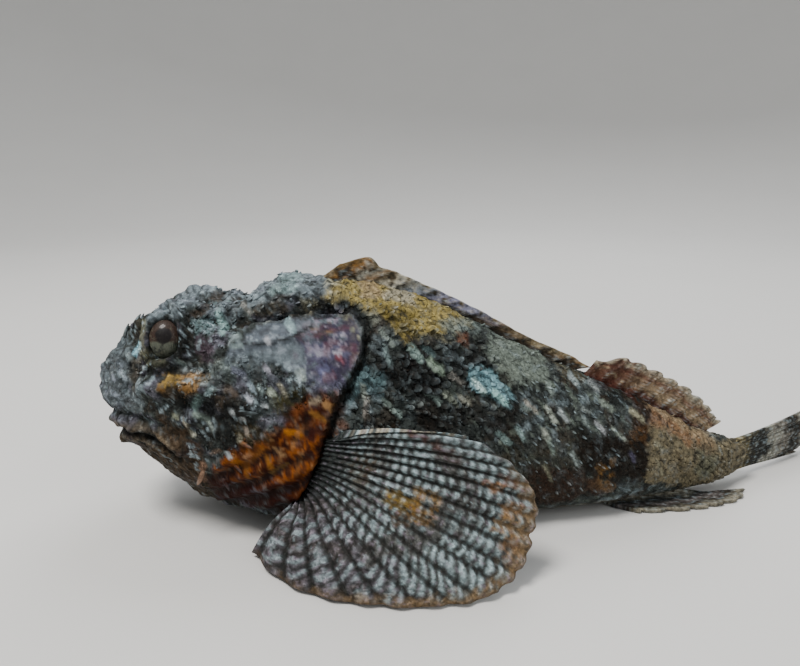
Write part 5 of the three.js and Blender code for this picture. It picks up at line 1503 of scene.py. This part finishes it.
def add_floor(look):
    """A flat disc of floor that rises gently all round."""
    bm = bmesh.new()
    flat, bend = look.floor_radius, look.floor_bend
    steps = [(flat * k / 8, 0) for k in range(9)]
    steps += [(flat + bend * math.sin(a), bend * (1 - math.cos(a))) for a in np.linspace(0.05, 1.5, 24)]
    profile = [bm.verts.new((x, 0, z)) for x, z in steps]
    edges = [bm.edges.new(pair) for pair in zip(profile[:-1], profile[1:])]
    bmesh.ops.spin(bm, geom=profile + edges, axis=(0, 0, 1), cent=(0, 0, 0), angle=TURN,
                   steps=96, use_merge=True)
    bmesh.ops.remove_doubles(bm, verts=bm.verts, dist=1e-5)
    bmesh.ops.recalc_face_normals(bm, faces=bm.faces)
    bmesh.ops.reverse_faces(bm, faces=[face for face in bm.faces if face.normal.z < 0])
    floor = add_object("floor", smooth_mesh("floor", bm))
    floor.data.materials.append(plaster_floor(look))


def add_lights(look):
    """The even light of a pale room and three soft lamps."""
    world = bpy.data.worlds.new("Soft room")
    world.use_nodes = True
    background = world.node_tree.nodes["Background"]
    background.inputs["Color"].default_value = ROOM_COLOUR
    background.inputs["Strength"].default_value = ROOM_LIGHT
    bpy.context.scene.world = world
    for name, spot, size, share, tint in LAMPS:
        lamp = bpy.data.lights.new(name, "AREA")
        lamp.size, lamp.energy, lamp.color = size, look.key_power * share, tint
        aim = LAMP_AIM - Vector(spot)
        add_object(name, lamp, spot, aim.to_track_quat("-Z", "Y").to_euler())


def add_camera(look):
    """The camera, at the photograph's viewing angle."""
    camera = bpy.data.cameras.new("camera")
    camera.lens, camera.sensor_width = look.lens, 36.0
    camera.clip_start, camera.clip_end = 0.01, 20
    bpy.context.scene.camera = add_object("camera", camera, CAMERA_PLACE, (CAMERA_TILT, 0, 0))


# Settings

class ScorpionfishBody(bpy.types.PropertyGroup):
    """Sizes and colours of skin, scales and flaps."""

    rings: bpy.props.IntProperty(
        name="Rings", description="Cross-sections of the skin from snout to tail", default=326, min=60)
    sides: bpy.props.IntProperty(
        name="Sides", description="Points around each cross-section", default=300, min=32)
    wart_height: bpy.props.FloatProperty(
        name="Wart height", description="Height of the lumps and warts on the head", default=0.00125,
        unit="LENGTH")
    scale_length: bpy.props.FloatProperty(
        name="Scale length", description="Length of one scale", default=0.0032, unit="LENGTH")
    flap_size: bpy.props.FloatProperty(
        name="Flap size", description="Length of the skin flaps against the usual", default=1.0,
        subtype="FACTOR", min=0.2, max=2.0)


class ScorpionfishFins(bpy.types.PropertyGroup):
    """Sizes of the fins."""

    per_ray: bpy.props.IntProperty(
        name="Columns per ray", description="Grid columns from one ray to the next", default=12, min=4)
    ray_rise: bpy.props.FloatProperty(
        name="Ray rise", description="How far rays stand out from the membrane", default=0.0008,
        unit="LENGTH")
    membrane: bpy.props.FloatProperty(
        name="Membrane", description="Half the thickness of the membrane", default=0.00045,
        unit="LENGTH")


class ScorpionfishEyes(bpy.types.PropertyGroup):
    """Size and colour of the eyes."""

    radius: bpy.props.FloatProperty(
        name="Radius", description="Radius of the eyeball", default=0.00875, unit="LENGTH")
    iris_colour: bpy.props.FloatVectorProperty(
        name="Iris colour", description="Lighter colour of the iris", size=3, subtype="COLOR",
        default=(0.066, 0.073, 0.056))


class ScorpionfishStage(bpy.types.PropertyGroup):
    """Floor, light and camera."""

    floor_colour: bpy.props.FloatVectorProperty(
        name="Floor colour", description="Colour of the floor", size=3, subtype="COLOR",
        default=(0.6, 0.59, 0.57))
    floor_radius: bpy.props.FloatProperty(
        name="Floor radius", description="Radius of the flat floor", default=0.9, unit="LENGTH")
    floor_bend: bpy.props.FloatProperty(
        name="Floor bend", description="Radius of the rise round the flat floor", default=1.3,
        unit="LENGTH")
    key_power: bpy.props.FloatProperty(
        name="Key light", description="Power of the main light", default=18.0, unit="POWER")
    lens: bpy.props.FloatProperty(
        name="Lens", description="Focal length of the camera in millimetres", default=31.5)


# Operators

class AddSkin(bpy.types.Operator):
    """Add the one skin over head, jaw, gill covers, trunk and tail stalk"""

    bl_idname = "scorpionfish.add_skin"
    bl_label = "Skin"

    def execute(self, context):
        mesh = smooth_mesh("skin", body_skin(context.scene.scorpionfish_body))
        add_piece("skin", mesh, damp_skin("Mottled damp skin"), "mottled_skin", *BODY_NODES)
        return {"FINISHED"}


class AddScales(bpy.types.Operator):
    """Add the overlapping scales of trunk and tail stalk"""

    bl_idname = "scorpionfish.add_scales"
    bl_label = "Scales"

    def execute(self, context):
        template = leaf_form(4, 4, 0.95, 1.0)
        rows = scale_rows(context.scene.scorpionfish_body)
        front = rows[:, 0] < SCALES_PART
        for side, _ in SIDES:
            for part, chosen in (("front", front), ("rear", ~front)):
                laid_scales(f"scales_{side}_{part}", template, on_side(rows[chosen], side))
        return {"FINISHED"}


class AddPapillae(bpy.types.Operator):
    """Add the small lumps and tassels that crust head and trunk"""

    bl_idname = "scorpionfish.add_papillae"
    bl_label = "Papillae"

    def execute(self, context):
        template = leaf_form(3, 4, 0.6, 0.5)
        for name, *band in PAPILLA_BANDS:
            scattered_coat(name, template, papilla_rows(*band))
        return {"FINISHED"}


class AddSpines(bpy.types.Operator):
    """Add the spines of head and gill cover"""

    bl_idname = "scorpionfish.add_spines"
    bl_label = "Head spines"

    def execute(self, context):
        scattered_coat("head_spines", spine_form(), spine_rows())
        return {"FINISHED"}


class AddFlaps(bpy.types.Operator):
    """Add the loose skin flaps and tassels"""

    bl_idname = "scorpionfish.add_flaps"
    bl_label = "Skin flaps"

    def execute(self, context):
        rows = flap_rows(context.scene.scorpionfish_body)
        scattered_coat("skin_flaps", leaf_form(4, 7, 0.65, 0.35), rows)
        return {"FINISHED"}


class AddPectoralFins(bpy.types.Operator):
    """Add the two fan-shaped pectoral fins"""

    bl_idname = "scorpionfish.add_pectoral_fins"
    bl_label = "Pectoral fins"

    def execute(self, context):
        for side, sign in SIDES:
            add_fin(f"pectoral_{side}", f"pectoral_fin_{side}", "banded_fin", PECTORAL_RAYS, 104,
                    pectoral_point, pectoral_colour, 2.6, 4, split=0.0, width=0.3, raised=1.0,
                    scallop=0.009, flip=sign > 0)
        return {"FINISHED"}


class AddPelvicFins(bpy.types.Operator):
    """Add the two pelvic fins that lie on the floor"""

    bl_idname = "scorpionfish.add_pelvic_fins"
    bl_label = "Pelvic fins"

    def execute(self, context):
        for side, sign in SIDES:
            add_fin(f"pelvic_{side}", f"pelvic_fin_{side}", "brown_fin", 6, 60,
                    floor_fan(PELVIC_ROOT, PELVIC_TIP, 4.5, 2.6), spotted_fin(PELVIC_BANDS), 2.6, 2.6,
                    flip=sign > 0)
        return {"FINISHED"}


class AddDorsalFins(bpy.types.Operator):
    """Add the folded spiny fin and the soft fin of the back"""

    bl_idname = "scorpionfish.add_dorsal_fins"
    bl_label = "Dorsal fins"

    def execute(self, context):
        add_fin("dorsal_spiny", "dorsal_fin_spiny", "brown_fin", 12, 36,
                back_fan(79, 174, SPINY_HEIGHT, 1.6, 1.6), spiny_colour, 1.6, 1, split=0.0, width=0.16,
                raised=0.6, scallop=0.03)
        add_fin("dorsal_soft", "dorsal_fin_soft", "brown_fin", 10, 48,
                back_fan(180, 232, SOFT_HEIGHT, 0.6, 1.25), soft_colour, 1.5, 1, raised=0.7)
        return {"FINISHED"}


class AddTailFins(bpy.types.Operator):
    """Add the anal fin and the tail fin"""

    bl_idname = "scorpionfish.add_tail_fins"
    bl_label = "Anal and tail fins"

    def execute(self, context):
        add_fin("anal", "anal_fin", "brown_fin", 8, 56, floor_fan(ANAL_ROOT, ANAL_TIP, 3.7, 2.2),
                spotted_fin(ANAL_BANDS), 2, 2.2)
        add_fin("caudal", "caudal_fin", "banded_fin", 13, 80, tail_fan, spotted_fin(TAIL_BANDS), 1.7, 3,
                scallop=0.05)
        return {"FINISHED"}


class AddEyes(bpy.types.Operator):
    """Add the two eyes and their lids"""

    bl_idname = "scorpionfish.add_eyes"
    bl_label = "Eyes"

    def execute(self, context):
        look = context.scene.scorpionfish_eyes
        material = wet_eye(look)
        for side, sign in SIDES:
            bm = bmesh.new()
            bmesh.ops.create_uvsphere(bm, u_segments=64, v_segments=40, radius=look.radius)
            bmesh.ops.translate(bm, verts=bm.verts, vec=Vector(EYE_CENTRE * (1, sign, 1)) * MM)
            ball, lids = f"eye_{side}_ball", f"eye_{side}_lids"
            add_piece(ball, smooth_mesh(ball, bm), material, "eye", f"eye_{side}")
            add_piece(lids, smooth_mesh(lids, eyelids(sign, look.radius / MM)),
                      damp_skin("Mottled damp skin"), "mottled_skin")
        return {"FINISHED"}


class AddStage(bpy.types.Operator):
    """Add the pale floor, the soft lights and the camera"""

    bl_idname = "scorpionfish.add_stage"
    bl_label = "Stage"

    def execute(self, context):
        for add in (add_floor, add_lights, add_camera):
            add(context.scene.scorpionfish_stage)
        return {"FINISHED"}


class ScorpionfishPanel(bpy.types.Panel):
    """Lists the settings and the pieces of the fish"""

    bl_label = "Scorpionfish"
    bl_idname = "VIEW3D_PT_scorpionfish"
    bl_space_type = "VIEW_3D"
    bl_region_type = "UI"
    bl_category = "Scorpionfish"

    def draw(self, context):
        for group in SETTINGS:
            box = self.layout.box()
            settings = getattr(context.scene, group)
            for name in SETTINGS[group].__annotations__:
                box.prop(settings, name)
        for piece in PIECES:
            self.layout.operator(piece.bl_idname)


PIECES = (
    AddStage, AddSkin, AddScales, AddPapillae, AddSpines, AddFlaps, AddPectoralFins, AddPelvicFins,
    AddDorsalFins, AddTailFins, AddEyes,
)
SETTINGS = {
    "scorpionfish_body": ScorpionfishBody,
    "scorpionfish_fins": ScorpionfishFins,
    "scorpionfish_eyes": ScorpionfishEyes,
    "scorpionfish_stage": ScorpionfishStage,
}


def register():
    """Register the settings, the operators and the panel."""
    for name, group in SETTINGS.items():
        bpy.utils.register_class(group)
        setattr(bpy.types.Scene, name, bpy.props.PointerProperty(type=group))
    for piece in (*PIECES, ScorpionfishPanel):
        bpy.utils.register_class(piece)


def unregister():
    """Take away what register adds."""
    for piece in reversed((*PIECES, ScorpionfishPanel)):
        bpy.utils.unregister_class(piece)
    for name, group in SETTINGS.items():
        delattr(bpy.types.Scene, name)
        bpy.utils.unregister_class(group)


def main():
    register()
    bpy.ops.scorpionfish.add_stage()
    bpy.ops.scorpionfish.add_skin()
    bpy.ops.scorpionfish.add_scales()
    bpy.ops.scorpionfish.add_papillae()
    bpy.ops.scorpionfish.add_spines()
    bpy.ops.scorpionfish.add_flaps()
    bpy.ops.scorpionfish.add_pectoral_fins()
    bpy.ops.scorpionfish.add_pelvic_fins()
    bpy.ops.scorpionfish.add_dorsal_fins()
    bpy.ops.scorpionfish.add_tail_fins()
    bpy.ops.scorpionfish.add_eyes()


if __name__ == "__main__":
    main()
